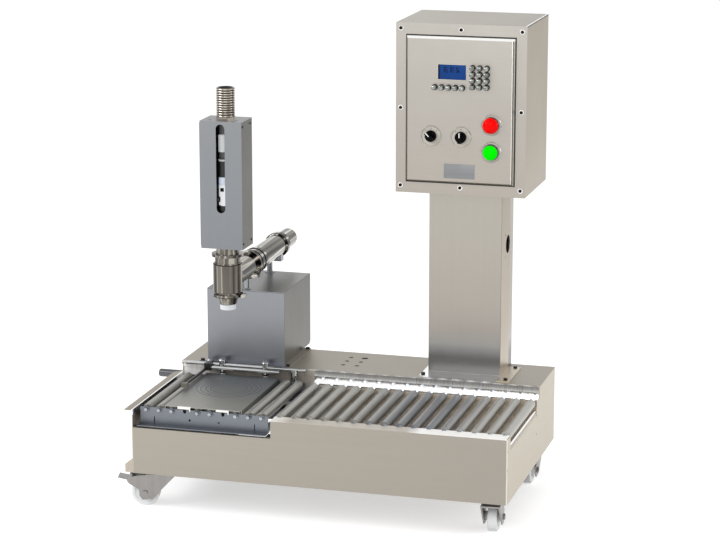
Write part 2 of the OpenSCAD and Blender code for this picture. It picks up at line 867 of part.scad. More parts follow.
module nozzle_body() {
    color("silver") in_frame() difference() {
        union() {
            translate([head_x, head_y, 0]) rotate_extrude() polygon([
                [0, cone_z + 5], [23, cone_z + 5], [26.5, cone_z + 21], [24, cone_z + 21], [24, body_z - 5],
                [40, body_z - 5], [40, body_z + 1], [32.5, body_z + 1], [32.5, body_z + 7],
                [body_d / 2, body_z + 7], [body_d / 2, neck_z], [35, neck_z], [35, neck_z + 5],
                [33.5, neck_z + 5], [33.5, ferrule_z], [42, ferrule_z], [42, collar_z],
                [30.5, collar_z], [28, house_z], [0, house_z]]);
            rod_y(head_x, head_y, pipe_z, pipe_d / 2, branch_end - head_y - 0.05);
            rod_y(head_x, branch_end - 6, pipe_z, 39, 5.95);
            // ears of the lower clamp ring
            block([head_x + 38, head_y - 6, body_z - 6], [head_x + 50, head_y + 6, body_z + 2]);
        }
        // chamber, seat and stem guide
        translate([head_x, head_y, 0]) rotate_extrude() polygon([
            [0, cone_z], [18, cone_z], [18, cone_z + 24], [chamber_r, body_z + 6],
            [chamber_r, ferrule_z], [stem_d / 2 + fit, ferrule_z + 1],
            [stem_d / 2 + fit, house_z + 1], [0, house_z + 1]]);
        rod_y(head_x, head_y, pipe_z, 24, branch_end - head_y + 1);
    }
}

module valve_stem() {
    color("white") in_frame() translate([head_x, head_y, 0]) rotate_extrude() polygon([
        [0, cone_z - 12], [tip_d / 2 - 2, cone_z - 12], [tip_d / 2, cone_z - 10], [tip_d / 2, cone_z + 2.6],
        [tip_d / 2 - 3, cone_z + 2.6], [tip_d / 2 - 3, cone_z + 4.8], [15, cone_z + 4.8],
        [15, cone_z + 14], [stem_d / 2, cone_z + 24], [stem_d / 2, stem_top], [0, stem_top]]);
}

module head_housing() {
    x0 = head_x - housing_w / 2;
    x1 = head_x + housing_w / 2;
    y0 = head_y - housing_d / 2 - 1;
    y1 = y0 + housing_d;
    t = housing_wall;
    z1 = house_z + housing_h;
    color("lightslategray") in_frame() {
        // front with the slot, its ends round
        difference() {
            block([x0, y0, house_z], [x1, y0 + t, z1]);
            block([head_x - 1 - slot_w / 2, y0 - 1, slot_z + slot_w / 2],
                [head_x - 1 + slot_w / 2, y0 + t + 1, slot_z + slot_h - slot_w / 2]);
            for (z = [slot_z + slot_w / 2, slot_z + slot_h - slot_w / 2]) {
                rod_y(head_x - 1, y0 - 1, z, slot_w / 2, t + 2);
            }
        }
        // back and sides
        block([x0, y1 - t, house_z], [x1, y1, z1]);
        for (x = [x0, x1 - t]) {
            block([x, y0 + t + weld, house_z], [x + t, y1 - t - weld, z1]);
        }
        // floor and top, with the openings for the stem and the tube
        difference() {
            for (z = [house_z, z1 - end_t]) {
                block([x0 + t + weld, y0 + t + weld, z], [x1 - t - weld, y1 - t - weld, z + end_t]);
            }
            translate([head_x, head_y, house_z - 1]) cylinder(h = 20, r = stem_d / 2 + 1);
            translate([head_x, head_y, z1 - 10]) cylinder(h = 20, r = 17);
            for (x = [-36, 36]) {
                translate([head_x + x, head_y - 22, z1 - 10]) cylinder(h = 20, r = 3.5);
            }
        }
        // cover plate on the left side, its screws on both sides
        block([x0 - 2.5, y0 + 4, house_z + 6], [x0 - 0.05, y1 - 4, z1 - 6]);
        for (z = [house_z + 14, z1 - 14], y = [y0 + 12, y1 - 12]) {
            rod_x(x1 + 0.05, y, z, 3.2, 1.6);
            rod_x(x0 - 4.1, y, z, 3.2, 1.55);
        }
    }
}

module fill_actuator() {
    z0 = house_z + 4;
    top = house_z + housing_h;
    bracket_z = house_z + 115;
    color("gray") in_frame() {
        difference() {
            union() {
                translate([head_x, act_y, 0]) rotate_extrude() polygon([
                    [0, z0], [38, z0], [38, z0 + 8], [26, z0 + 8], [26, slot_z], [33, slot_z],
                    [33, bracket_z + 1], [0, bracket_z + 1]]);
                translate([head_x, act_y, bracket_z]) cylinder(h = 53, r = 30);
                block([head_x - 36, act_y - 34, bracket_z], [head_x + 36, act_y + 30, bracket_z + 53]);
                translate([head_x, act_y, 0]) rotate_extrude() polygon([
                    [0, bracket_z + 52], [35, bracket_z + 52], [35, bracket_z + 73], [33, bracket_z + 73],
                    [33, bracket_z + 119], [36, bracket_z + 119], [36, bracket_z + 123],
                    [29, bracket_z + 123], [29, bracket_z + 141], [35, bracket_z + 141],
                    [35, bracket_z + 186], [27, bracket_z + 186], [27, top - 4], [0, top - 4]]);
            }
            translate([head_x, act_y, z0 - 1]) cylinder(h = stem_top + 11 - z0, r = stem_d / 2 + fit);
            rod_y(head_x - 1, act_y - 40, bracket_z + 41, 4, 16);
        }
        // dark knob on the bracket
        rod_y(head_x - 13, act_y - 40, bracket_z + 16, 5, 5.95);
        // ribbed tube with its nut on top
        difference() {
            union() {
                translate([head_x, act_y, top]) cylinder(h = 7, r = 26, $fn = 6);
                translate([head_x, act_y, top + 6]) cylinder(h = rib_h - 6, r = rib_tube_d / 2 - 2.5);
                for (k = [0:11]) {
                    translate([head_x, act_y, top + 8 + k * (rib_h - 9) / 11.6])
                        cylinder(h = 3.4, r = rib_tube_d / 2);
                }
            }
            translate([head_x, act_y, top - 1]) cylinder(h = rib_h + 2, r = rib_tube_d / 2 - 6);
        }
    }
}

// column and cabinet

function column_bolts() = [for (x = [-head_r - 0.8, column_w + foot_side - 14], y = [-33, 92])
    [column_x - column_w / 2 + x, column_y + y]];

module column() {
    x0 = column_x - column_w / 2;
    x1 = column_x + column_w / 2;
    y1 = column_y + column_d;
    t = column_t;
    color("darkgray") in_frame() {
        // walls, welded along their edges
        for (y = [column_y, y1 - t]) {
            block([x0, y, deck_z], [x1, y + t, cab_z]);
        }
        difference() {
            for (x = [x0, x1 - t]) {
                block([x, column_y + t + weld, deck_z], [x + t, y1 - t - weld, cab_z]);
            }
            rod_x(x1 - 10, cable_y, cable_z, cable_d / 2, 20);
            for (a = [-1, 1], b = [-1, 1]) {
                rod_x(x1 - 10, cable_y + a * cable_sx / 2, cable_z + b * cable_sz / 2, 2.2, 20);
            }
        }
        difference() {
            block([x0 + t + weld, column_y + t + weld, cab_z - t], [x1 - t - weld, y1 - t - weld, cab_z]);
            translate([column_x, column_y + column_d / 2, cab_z - 10]) cylinder(h = 20, r = 30);
        }
        // foot flanges
        block([x0, deck_front + 1, deck_z], [x1, column_y - weld, deck_z + t]);
        difference() {
            for (x = [[x0 - foot_left, x0 - weld], [x1 + weld, x1 + foot_side]]) {
                block([x[0], column_y - foot_front, deck_z], [x[1], column_y + foot_back, deck_z + t]);
            }
            for (p = column_bolts()) {
                translate([p[0], p[1], deck_z - 1]) cylinder(h = 20, r = 3 + easy / 2);
            }
        }
    }
}

module cabinet_shell() {
    x0 = cab_x - cabinet_w / 2;
    x1 = cab_x + cabinet_w / 2;
    y0 = cab_y + cover_t;
    y1 = cab_y + cabinet_d;
    z1 = cab_z + cabinet_h;
    t = shell_t;
    in0 = y0 + t + weld;
    in1 = y1 - t - weld;
    color("wheat") in_frame() difference() {
        union() {
            // flange behind the cover, in four strips
            for (z = [cab_z, z1 - shell_flange]) {
                block([x0, y0, z], [x1, y0 + t, z + shell_flange]);
            }
            for (x = [x0, x1 - shell_flange]) {
                block([x, y0, cab_z + shell_flange + weld],
                    [x + shell_flange, y0 + t, z1 - shell_flange - weld]);
            }
            // sides, floor, top and back
            for (x = [x0, x1 - t]) {
                block([x, in0, cab_z], [x + t, in1, z1]);
            }
            for (z = [cab_z, z1 - t]) {
                block([x0 + t + weld, in0, z], [x1 - t - weld, in1, z + t]);
            }
            block([x0, y1 - t, cab_z], [x1, y1, z1]);
        }
        translate([column_x, column_y + column_d / 2, cab_z - 10]) cylinder(h = 20, r = 30);
        for (p = cover_screws()) {
            rod_y(p[0], y0 - 5, p[1], 2 + easy / 2, 20);
        }
        for (k = [0:6]) {
            block([cab_x - 60, y1 - 5, cab_z + 60 + k * 14], [cab_x + 60, y1 + 5, cab_z + 64 + k * 14]);
        }
    }
}

function cover_screws() = concat(
    [for (k = [-1:1]) [cab_x + k * screw_dx, cab_z + screw_z[0]]],
    [for (k = [-1, 1]) [cab_x + k * screw_dx, cab_z + screw_z[1]]],
    [for (k = [-1:1]) [cab_x + k * screw_dx, cab_z + screw_z[2]]]);

// the raised panel's solid, s smaller on each side, moved back by d
module pan(s, d) {
    hull() {
        block([cab_x - pan_w / 2 + s, cab_y + d - 0.5, pan_z + s],
            [cab_x + pan_w / 2 - s, cab_y + d, pan_z + pan_h - s]);
        block([cab_x - pan_w / 2 + pan_bevel + s, face_y + d, pan_z + pan_bevel + s],
            [cab_x + pan_w / 2 - pan_bevel - s, face_y + d + 0.5, pan_z + pan_h - pan_bevel - s]);
    }
}

module cabinet_cover() {
    x0 = cab_x - cabinet_w / 2;
    x1 = cab_x + cabinet_w / 2;
    color("beige") in_frame() {
        difference() {
            union() {
                block([x0, cab_y, cab_z], [x1, cab_y + cover_t, cab_z + cabinet_h]);
                pan(0, 0);
            }
            pan(2, cover_t);
            block([cab_x - pan_w / 2 + 2, cab_y + cover_t - 0.5, pan_z + 2],
                [cab_x + pan_w / 2 - 2, cab_y + cover_t + 1, pan_z + pan_h - 2]);
            block([lcd_x - lcd_w / 2 - easy, face_y - 1, lcd_z - lcd_h / 2 - easy],
                [lcd_x + lcd_w / 2 + easy, cab_y, lcd_z + lcd_h / 2 + easy]);
            for (p = key_spots()) {
                rod_y(p[0], face_y - 1, p[1], key_d / 2 + easy, 20);
            }
            for (x = selector_x) {
                rod_y(x, face_y - 5, selector_z, spindle_d / 2 + fit, 20);
            }
            for (z = [stop_z, start_z]) {
                rod_y(button_x, face_y - 5, z, spindle_d / 2 + fit, 20);
            }
            for (p = cover_screws()) {
                rod_y(p[0], cab_y - 5, p[1], 2 + easy / 2, 20);
            }
        }
        // legend discs
        for (x = selector_x) {
            legend_disc(x, selector_z);
        }
        for (z = [stop_z, start_z]) {
            legend_disc(button_x, z);
        }
        // collar around the green button
        difference() {
            rod_y(button_x, face_y - disc_t - 8, start_z, start_d / 2 + 2, 7.9);
            rod_y(button_x, face_y - disc_t - 9, start_z, start_d / 2 + 0.4, 12);
        }
        // bare label plate
        block([cab_x + 0.9 - label_w / 2, face_y - 0.85, label_z],
            [cab_x + 0.9 + label_w / 2, face_y - 0.05, label_z + label_h]);
    }
}

module legend_disc(x, z) {
    difference() {
        rod_y(x, face_y - disc_t - 0.05, z, disc_r, disc_t);
        rod_y(x, face_y - 5, z, spindle_d / 2 + 0.5, 10);
    }
}

module display_unit() {
    b = face_y + cover_t + 0.05;
    color("royalblue") in_frame() difference() {
        union() {
            block([lcd_x - lcd_w / 2 - 8, b, lcd_z - lcd_h / 2 - 8],
                [lcd_x + lcd_w / 2 + 8, b + 8, lcd_z + lcd_h / 2 + 8]);
            block([lcd_x - lcd_w / 2, face_y + 1.2, lcd_z - lcd_h / 2],
                [lcd_x + lcd_w / 2, b + 1, lcd_z + lcd_h / 2]);
        }
    }
}

function key_spots() = concat(
    [for (k = [-2:2]) [lcd_x - 8.9 + k * key_px, cab_z + 285]],
    [for (c = [-1:1], r = [0:3]) [cab_x + 53.5 + c * pad_px, cab_z + 289 + r * pad_pz]]);

module keypad_keys() {
    b = face_y + cover_t + 0.05;
    color("silver") in_frame() for (p = key_spots()) {
        union() {
            rod_y(p[0], face_y - key_len, p[1], key_d / 2, b - face_y + key_len + 1);
            rod_y(p[0], b, p[1], key_flange / 2, 2);
        }
    }
}

// a selector knob, its bar turned by a from upright
module selector(x, a) {
    f = face_y - disc_t - 0.3;
    color("black") in_frame() translate([x, 0, selector_z]) rotate([0, a, 0]) union() {
        rod_y(0, f - 7, 0, knob_r, 7);
        block([-5, f - 20, -knob_r + 1], [5, f - 6.9, knob_r - 1]);
        block([-1, f - 20.6, 2], [1, f - 19.9, knob_r - 1]);
        rod_y(0, f - 1, 0, spindle_d / 2, 28);
    }
}

module selector_left() { selector(selector_x[0], -45); }
module selector_right() { selector(selector_x[1], 0); }

module stop_button() {
    f = face_y - disc_t;
    color("red") in_frame() translate([button_x, f - button_travel - 1, stop_z])
        rotate([90, 0, 0]) union() {
            rotate_extrude() polygon([[0, 0], [stop_d / 2 - 5, 0], [stop_d / 2 - 5, 4], [stop_d / 2, 6],
                [stop_d / 2, 11], [stop_d / 2 - 2, 15], [stop_d / 2 - 6, 18], [stop_d / 2 - 11, 19.6], [0, 20]]);
            translate([0, 0, -26 - button_travel]) cylinder(h = 27 + button_travel, r = spindle_d / 2);
        }
}

module start_button() {
    f = face_y - disc_t;
    color("green") in_frame() {
        rod_y(button_x, f - 8 - button_travel + 1, start_z, start_d / 2, 6);
        rod_y(button_x, f - 8, start_z, spindle_d / 2, 36);
    }
}

// casters

// x of this outline runs from the swivel to the wheel, y is the height over the floor
function fork_side() = [[-45, fork_top - 13], [-45, fork_top - 9], [30, fork_top - 9],
    [trail + 16, wheel_d / 2 + 14], [trail + 15, 30], [trail + 7, 19], [trail - 19, 22]];

module caster_fork(x, y, a) {
    color("darkgray") in_frame() translate([x, y, 0]) rotate([0, 0, a]) {
        difference() {
            union() {
                for (s = [-1, 1]) {
                    translate([0, s > 0 ? fork_w / 2 : fork_t - fork_w / 2, 0]) rotate([90, 0, 0])
                        linear_extrude(fork_t) polygon(fork_side());
                }
                block([-45, -fork_w / 2, fork_top - 13], [30, fork_w / 2, fork_top - 9]);
                translate([0, 0, fork_top - 10]) cylinder(h = 9.8, r = 23);
            }
            translate([0, 0, fork_top - 20]) cylinder(h = 30, r = pivot_d / 2 + fit);
            rod_y(trail, -40, wheel_d / 2, axle_d / 2 + 0.02, 80);
        }
        // axle bolt
        rod_y(trail, -fork_w / 2 - 4, wheel_d / 2, axle_d / 2, fork_w + 9);
        translate([trail, -fork_w / 2 - 0.05, wheel_d / 2]) rotate([90, 0, 0]) cylinder(h = 4, r = 8, $fn = 6);
        translate([trail, fork_w / 2 + 4.05, wheel_d / 2]) rotate([90, 0, 0]) cylinder(h = 4, r = 8, $fn = 6);
    }
}

// ears of the braked caster, with the pedal's pin
module pedal_ears(x, y, a) {
    color("darkgray") in_frame() translate([x, y, 0]) rotate([0, 0, a]) {
        for (s = [-1, 1]) {
            translate([0, s > 0 ? fork_w / 2 : fork_t - fork_w / 2, 0]) rotate([90, 0, 0])
                linear_extrude(fork_t) polygon([[20, fork_top - 9], [pedal_x + 4, pedal_z + 8],
                    [pedal_x + 7, pedal_z], [pedal_x + 2, pedal_z - 8], [trail + 10, wheel_d / 2 + 6]]);
        }
        rod_y(pedal_x, 1 - fork_w / 2, pedal_z, pedal_pin / 2, fork_w - 2);
    }
}

module caster_fork_front_left() {
    union() {
        caster_fork(-caster_x, caster_y[0], turn_fl);
        pedal_ears(-caster_x, caster_y[0], turn_fl);
    }
}
module caster_fork_front_right() { caster_fork(caster_x, caster_y[0], turn_fr); }
module caster_fork_rear_left() { caster_fork(-caster_x, caster_y[1], turn_rl); }
module caster_fork_rear_right() { caster_fork(caster_x, caster_y[1], turn_rr); }

module caster_wheel(x, y, a) {
    r = wheel_d / 2;
    w = wheel_w / 2;
    hub = fork_w / 2 - fork_t - 0.2;
    color("white") in_frame() translate([x, y, 0]) rotate([0, 0, a]) translate([trail, 0, r])
        rotate([90, 0, 0]) rotate_extrude() polygon([
            [axle_d / 2 + fit, -hub], [12, -hub], [13, -w + 3], [r - 9, -w + 3], [r - 8, -w], [r - 2, -w],
            [r, 2 - w], [r, w - 2], [r - 2, w], [r - 8, w], [r - 9, w - 3], [13, w - 3],
            [12, hub], [axle_d / 2 + fit, hub]]);
}

module caster_wheel_front_left() { caster_wheel(-caster_x, caster_y[0], turn_fl); }
module caster_wheel_front_right() { caster_wheel(caster_x, caster_y[0], turn_fr); }
module caster_wheel_rear_left() { caster_wheel(-caster_x, caster_y[1], turn_rl); }
module caster_wheel_rear_right() { caster_wheel(caster_x, caster_y[1], turn_rr); }

module brake_pedal() {
    w = fork_w / 2 - fork_t - 3;
    color("silver") in_frame() translate([-caster_x, caster_y[0], 0]) rotate([0, 0, turn_fl])
        translate([pedal_x, 0, pedal_z]) difference() {
            union() {
                rod_y(0, -w, 0, 6, 2 * w);
                rotate([0, -12, 0]) block([4, 1 - w, -2], [32, w - 1, 2]);
                rotate([0, -65, 0]) block([-11, -8, -2.5], [-4, 8, 2.5]);
            }
            rod_y(0, -30, 0, pedal_pin / 2 + fit, 60);
        }
}

// screws and bolts

module button_head(r, h, s, l) {
    cylinder(h = h, r = r);
    translate([0, 0, -l]) cylinder(h = l + 0.1, r = s);
}

module fasteners() {
    color("dimgray") in_frame() {
        for (p = panel_screws()) {
            translate([half - 1.6, p[0], p[1]]) rotate([0, 90, 0]) button_head(3, 1.6, 2, 3);
        }
        for (p = rear_screws()) {
            translate([half - 1.6, p[0], p[1]]) rotate([0, 90, 0]) button_head(3, 1.6, 2, 4);
        }
        for (p = cover_screws()) {
            translate([p[0], cab_y - 0.05, p[1]]) rotate([90, 0, 0]) button_head(4.4, 2.4, 2, 8);
        }
        for (p = column_bolts()) {
            translate([p[0], p[1], deck_z + column_t + weld]) button_head(head_r, 4, 3, bolt_l);
        }
        for (p = lift_bolts()) {
            translate([p[0], p[1], lift_z + weld]) button_head(head_r, 4, 3, bolt_l);
        }
    }
}

front_panel();
left_panel();
right_panel();
rear_panel();
deck_plate();
chassis_frame();
roller_bed();
roller_shafts();
roller_01();
roller_02();
roller_03();
roller_04();
roller_05();
roller_06();
roller_07();
roller_08();
roller_09();
roller_10();
roller_11();
roller_12();
roller_13();
roller_14();
roller_15();
roller_16();
weigh_frame();
covered_rollers();
weigh_roller_1();
weigh_roller_2();
weigh_roller_3();
weigh_roller_4();
weigh_platform();
load_cell();
guide_stand();
guide_rods();
lift_housing();
lift_posts();
inlet_pipe();
nozzle_body();
valve_stem();
head_housing();
fill_actuator();
column();
cabinet_shell();
cabinet_cover();
display_unit();
keypad_keys();
selector_left();
selector_right();
stop_button();
start_button();
caster_fork_front_left();
caster_fork_front_right();
caster_fork_rear_left();
caster_fork_rear_right();
caster_wheel_front_left();
caster_wheel_front_right();
caster_wheel_rear_left();
caster_wheel_rear_right();
brake_pedal();
fasteners();
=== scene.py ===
import math
from collections import namedtuple

import bmesh
import bpy
from mathutils import Matrix, Vector


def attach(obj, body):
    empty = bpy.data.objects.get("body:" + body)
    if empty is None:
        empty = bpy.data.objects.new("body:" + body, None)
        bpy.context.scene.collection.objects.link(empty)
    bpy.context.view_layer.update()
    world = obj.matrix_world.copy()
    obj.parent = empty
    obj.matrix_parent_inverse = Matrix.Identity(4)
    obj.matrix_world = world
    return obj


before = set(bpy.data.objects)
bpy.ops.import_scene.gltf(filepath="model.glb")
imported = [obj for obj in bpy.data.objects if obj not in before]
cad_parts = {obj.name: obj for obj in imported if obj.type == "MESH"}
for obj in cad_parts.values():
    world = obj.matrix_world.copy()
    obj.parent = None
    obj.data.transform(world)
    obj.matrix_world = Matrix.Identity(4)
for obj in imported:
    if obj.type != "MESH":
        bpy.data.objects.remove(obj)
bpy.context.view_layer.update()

MM = 0.001
# the machine's own axes, in millimetres: x from the middle of the base, y from its front
SHIFT = Vector((40, -383, 0))

BASE_HALF = 500
WEIGH_END, TRAY_END = -121, 497
DECK_FRONT, DECK_Z = 395, 303
HEAD_X, HEAD_Y = -310, 231
PIPE_Z = 581.6
BODY_Z = 542
HOUSE_Z, HOUSE_TOP = 671, 1009
LIFT_X0, LIFT_X1, LIFT_Y0, LIFT_Y1, LIFT_TOP = -432, -212, 413, 657, 507
WEIGH_X = -313
RING_RADII = (51, 64, 78, 89)

COLUMN_Z = 306
CAB_X, CAB_Y, CAB_Z = 277.8, 396, 807
CAB_HALF, CAB_TOP = 174, CAB_Z + 448
FACE_Y = 382
PANEL_X0, PANEL_X1 = CAB_X - 145, CAB_X + 145
PANEL_Z0, PANEL_Z1 = CAB_Z + 30.5, CAB_Z + 417.5
BUTTON_X = CAB_X + 85.6
STOP_Z, START_Z = CAB_Z + 191.3, CAB_Z + 120.1
SELECTOR_Z = CAB_Z + 156
SELECTORS = {"selector_left": (CAB_X - 75.1, -45), "selector_right": (CAB_X + 5.1, 0)}
DISPLAY_X, DISPLAY_Z = CAB_X - 20.2, CAB_Z + 325.4
DISPLAY_W, DISPLAY_H = 37.3, 19.5

# each caster's place and the way it points, in degrees
CASTERS = {
    "front_left": (-450, 60, 192),
    "front_right": (450, 60, 95),
    "rear_left": (-450, 540, 262),
    "rear_right": (450, 540, 270),
}
WHEEL_R = 37.5
TRAIL = 34
FULL_TURN = 2 * math.pi

# finishes by name, so that a piece of the picture can share one with a CAD node
MADE = {}

# a colour that runs from low to high along one axis, in the machine's millimetres
Fade = namedtuple("Fade", "letter low high stops")


def spot(x, y, z):
    """A point given in the machine's millimetres, in the row frame."""
    return (Vector((x, y, z)) + SHIFT) * MM


def tint(code):
    """A colour written as six hex digits, as the numbers a shader takes."""
    parts = [int(code[i:i + 2], 16) / 255 for i in (0, 2, 4)]
    return (*[p / 12.92 if p <= 0.04045 else ((p + 0.055) / 1.055) ** 2.4 for p in parts], 1.0)


# shader maths


class Socket:
    """One output of a finish's node tree, with arithmetic on it."""

    def __init__(self, finish, socket):
        self.finish = finish
        self.socket = socket

    def maths(self, operation, *values):
        return self.finish.node(
            "ShaderNodeMath", {"operation": operation}, dict(enumerate(values)))

    def __add__(self, other):
        return self.maths("ADD", self, other)

    def __sub__(self, other):
        return self.maths("SUBTRACT", self, other)

    def __rsub__(self, other):
        return self.maths("SUBTRACT", other, self)

    def __mul__(self, other):
        return self.maths("MULTIPLY", self, other)

    def __gt__(self, other):
        return self.maths("GREATER_THAN", self, other)

    def __lt__(self, other):
        return self.maths("LESS_THAN", self, other)

    __radd__ = __add__
    __rmul__ = __mul__


class Finish:
    """A material's node tree, built by calls."""

    def __init__(self, name):
        self.name = name
        self.material = bpy.data.materials.new(name)
        self.material.use_nodes = True
        self.tree = self.material.node_tree
        self.tree.nodes.clear()
        self.place = self.node("ShaderNodeTexCoord", output="Object")

    def node(self, kind, settings=None, inputs=None, output=0):
        """Adds a node; an input is a value or a Socket to link."""
        made = self.tree.nodes.new(kind)
        for key, value in (settings or {}).items():
            if key == "stops":
                ramp = made.color_ramp
                while len(ramp.elements) < len(value):
                    ramp.elements.new(0.5)
                for stop, (position, colour) in zip(ramp.elements, value):
                    stop.position, stop.color = position, colour
            else:
                setattr(made, key, value)
        for key, value in (inputs or {}).items():
            if isinstance(value, Socket):
                self.tree.links.new(value.socket, made.inputs[key])
            else:
                made.inputs[key].default_value = value
        return Socket(self, made.outputs[output])

    def axis(self, letter):
        """The place along X, Y or Z, in metres."""
        return self.node("ShaderNodeSeparateXYZ", {}, {0: self.place}, letter)

    def noise(self, scale, stretch=(1, 1, 1), detail=2.0, rough=0.5, warp=0.0):
        """Cloudy noise from 0 to 1; a stretch over 1 makes it finer along that axis."""
        where = self.node("ShaderNodeMapping", {"vector_type": "POINT"},
                          {"Vector": self.place, "Scale": stretch})
        return self.node("ShaderNodeTexNoise", {}, {
            "Vector": where, "Scale": scale, "Detail": detail,
            "Roughness": rough, "Distortion": warp})

    def steps(self, value, low, high):
        """Maps value smoothly from low..high to 0..1, and holds it there outside."""
        return self.node("ShaderNodeMapRange", {
            "clamp": True, "interpolation_type": "SMOOTHSTEP"}, {
            "Value": value, "From Min": low, "From Max": high})

    def mix(self, factor, a, b):
        """Colour a where factor is 0, colour b where it is 1."""
        return self.node("ShaderNodeMix", {"data_type": "RGBA"}, {0: factor, 6: a, 7: b}, 2)

    def ramp(self, value, stops):
        """A colour that runs through stops of (position, hex digits)."""
        return self.node("ShaderNodeValToRGB", {"stops": [(at, tint(code)) for at, code in stops]},
                         {0: value})

    def fade(self, letter, low, high, stops):
        """A ramp between two places on one axis, given in the machine's millimetres."""
        shift = SHIFT["XYZ".index(letter)]
        value = (self.axis(letter) - (low + shift) * MM) * (1 / ((high - low) * MM))
        return self.ramp(value, stops)

    def toned(self, code, tone):
        """A colour made lighter or darker by tone: hex digits, a Fade or a socket."""
        if isinstance(code, str):
            code = tint(code)[:3]
        elif isinstance(code, Fade):
            code = self.fade(*code)
        return self.node("ShaderNodeVectorMath", {"operation": "SCALE"}, {0: code, "Scale": tone})

    def inside(self, low, high):
        """1 inside the box with these corners in the machine's millimetres, else 0."""
        a, b = spot(*low), spot(*high)
        masks = []
        for letter, p, q in zip("XYZ", a, b):
            value = self.axis(letter)
            masks.append((value > p) * (value < q))
        return masks[0] * masks[1] * masks[2]

    def near_upright(self, x, y, bands):
        """1 where the distance from an upright axis, in millimetres, is inside a band."""
        vector = "ShaderNodeVectorMath"
        off = self.node(vector, {"operation": "SUBTRACT"}, {0: self.place, 1: spot(x, y, 0)})
        flat = self.node(vector, {"operation": "MULTIPLY"}, {0: off, 1: (1, 1, 0)})
        far = self.node(vector, {"operation": "LENGTH"}, {0: flat}, "Value")
        total = 0
        for low, high in bands:
            total = (far > low * MM) * (far < high * MM) + total
        return total

    def close(self, shown, coat=0.0, ior=1.5):
        """Makes the material's shader from a Look."""
        bump = self.node("ShaderNodeBump", {}, {
            "Strength": 0.35, "Distance": 0.0004, "Height": shown.height})
        shader = self.node("ShaderNodeBsdfPrincipled", {}, {
            "Base Color": shown.colour, "Metallic": shown.metal, "Roughness": shown.rough,
            "Normal": bump, "Coat Weight": coat, "Coat Roughness": 0.1, "IOR": ior})
        self.surface(shader)
        MADE[self.name] = self.material
        return self.material

    def surface(self, shader):
        """Gives the material this shader as its surface."""
        out = self.tree.nodes.new("ShaderNodeOutputMaterial")
        self.tree.links.new(shader.socket, out.inputs["Surface"])


class Look:
    """What a surface is at each point: colour, metal, roughness and height."""

    def __init__(self, colour, metal, rough, height):
        self.colour, self.metal, self.rough, self.height = colour, metal, rough, height


def join(f, mask, a, b):
    """Look a where mask is 0, look b where it is 1."""
    def blend(p, q):
        same = isinstance(p, (int, float)) and isinstance(q, (int, float)) and p == q
        return p if same else mask * (q - p) + p
    return Look(f.mix(mask, a.colour, b.colour), blend(a.metal, b.metal),
                blend(a.rough, b.rough), blend(a.height, b.height))


def look(maker, *args, **keys):
    """A look that is made later, once its finish is there."""
    return lambda f: maker(f, *args, **keys)


# how noise is stretched into lines along an axis
ALONG = {"X": (0.02, 1, 1), "Y": (1, 0.02, 1), "Z": (1, 1, 0.02)}
# and into rings round it
ACROSS = {"X": (1, 0.05, 0.05), "Y": (0.05, 1, 0.05), "Z": (0.05, 0.05, 1)}


def brushed(f, code, along="X", rough=0.36, grain=0.16, cloud=0.14, metal=1.0):
    """Ground sheet steel: fine lines along one axis, cloudy rubbing marks, a few scratches."""
    lines = f.noise(620, ALONG[along], 3, 0.6)
    broad = f.noise(90, ALONG[along], 2, 0.5)
    clouds = f.noise(5.5, detail=3, rough=0.55)
    marks = f.noise(210, (1, 0.35, 0.6), 2, 0.5, 2.0)
    scratch = f.steps(marks, 0.72, 0.78)
    tone = 1.0 + (lines - 0.5) * grain + (broad - 0.5) * (grain * 0.8) + (clouds - 0.5) * cloud
    return Look(f.mix(scratch * 0.10, f.toned(code, tone), tint("F4F2EE")), metal,
                rough + (lines - 0.5) * 0.10 + (clouds - 0.5) * 0.14 - scratch * 0.05,
                lines * 0.5 + broad * 0.4 - scratch * 0.2)


def polished(f, code, rough=0.10, along="X", streak=0.5):
    """Polished tube or rod: draw marks along it, a haze and finger marks."""
    lines = f.noise(500, ALONG[along], 2, 0.5)
    drawn = f.noise(75, ALONG[along], 1, 0.4)
    haze = f.noise(14, detail=4, rough=0.6)
    prints = f.steps(f.noise(38, detail=2, rough=0.4), 0.55, 0.70)
    tone = 1.0 + (drawn - 0.5) * (streak * 2) + (haze - 0.5) * 0.3
    return Look(f.toned(code, tone), 1.0,
                rough + prints * 0.08 + (haze - 0.5) * 0.06 + (lines - 0.5) * 0.04, lines * 0.35)


def reflection_band_tube(f, code, along, dark, rough, bright, mid):
    """Mirror-polished tube with painted reflections: broad dark and bright bands along it."""
    bands = f.noise(62, ALONG[along], 1, 0.35)
    haze = f.noise(16, detail=4, rough=0.6)
    # painted reflection bands, from near black through grey to near white
    shade = f.ramp(f.steps(bands, 0.34, 0.66), [
        (0.0, dark), (0.22, "5E5A54"), (0.42, mid), (0.62, code), (0.8, bright), (1.0, code)])
    return Look(f.toned(shade, 1.0 + (haze - 0.5) * 0.3), 1.0, rough + (haze - 0.4) * 0.10,
                bands * 0.1)


def turned(f, code, rough=0.22, along="Z", ring=0.3, metal=1.0):
    """Lathe-turned steel: rings across the axis over a satin ground."""
    rings = f.noise(900, ACROSS[along], 2, 0.5)
    haze = f.noise(20, detail=3, rough=0.6)
    tone = 1.0 + (rings - 0.5) * ring + (haze - 0.5) * 0.22
    return Look(f.toned(code, tone), metal,
                rough + (rings - 0.5) * 0.10 + (haze - 0.5) * 0.12, rings * 0.4)


def paint(f, code, rough=0.42, peel=0.3):
    """Powder coat: an orange-peel skin with slight fading and dust."""
    skin = f.noise(420, detail=2, rough=0.5)
    fade = f.noise(3.2, detail=3, rough=0.55)
    dust = f.steps(f.noise(60, detail=4, rough=0.65), 0.52, 0.80)
    colour = f.toned(code, 1.0 + (fade - 0.5) * 0.24)
    return Look(f.mix(dust * 0.10, colour, tint("C9C2B6")), 0.0,
                rough + (skin - 0.5) * 0.08 + dust * 0.08, skin * peel)


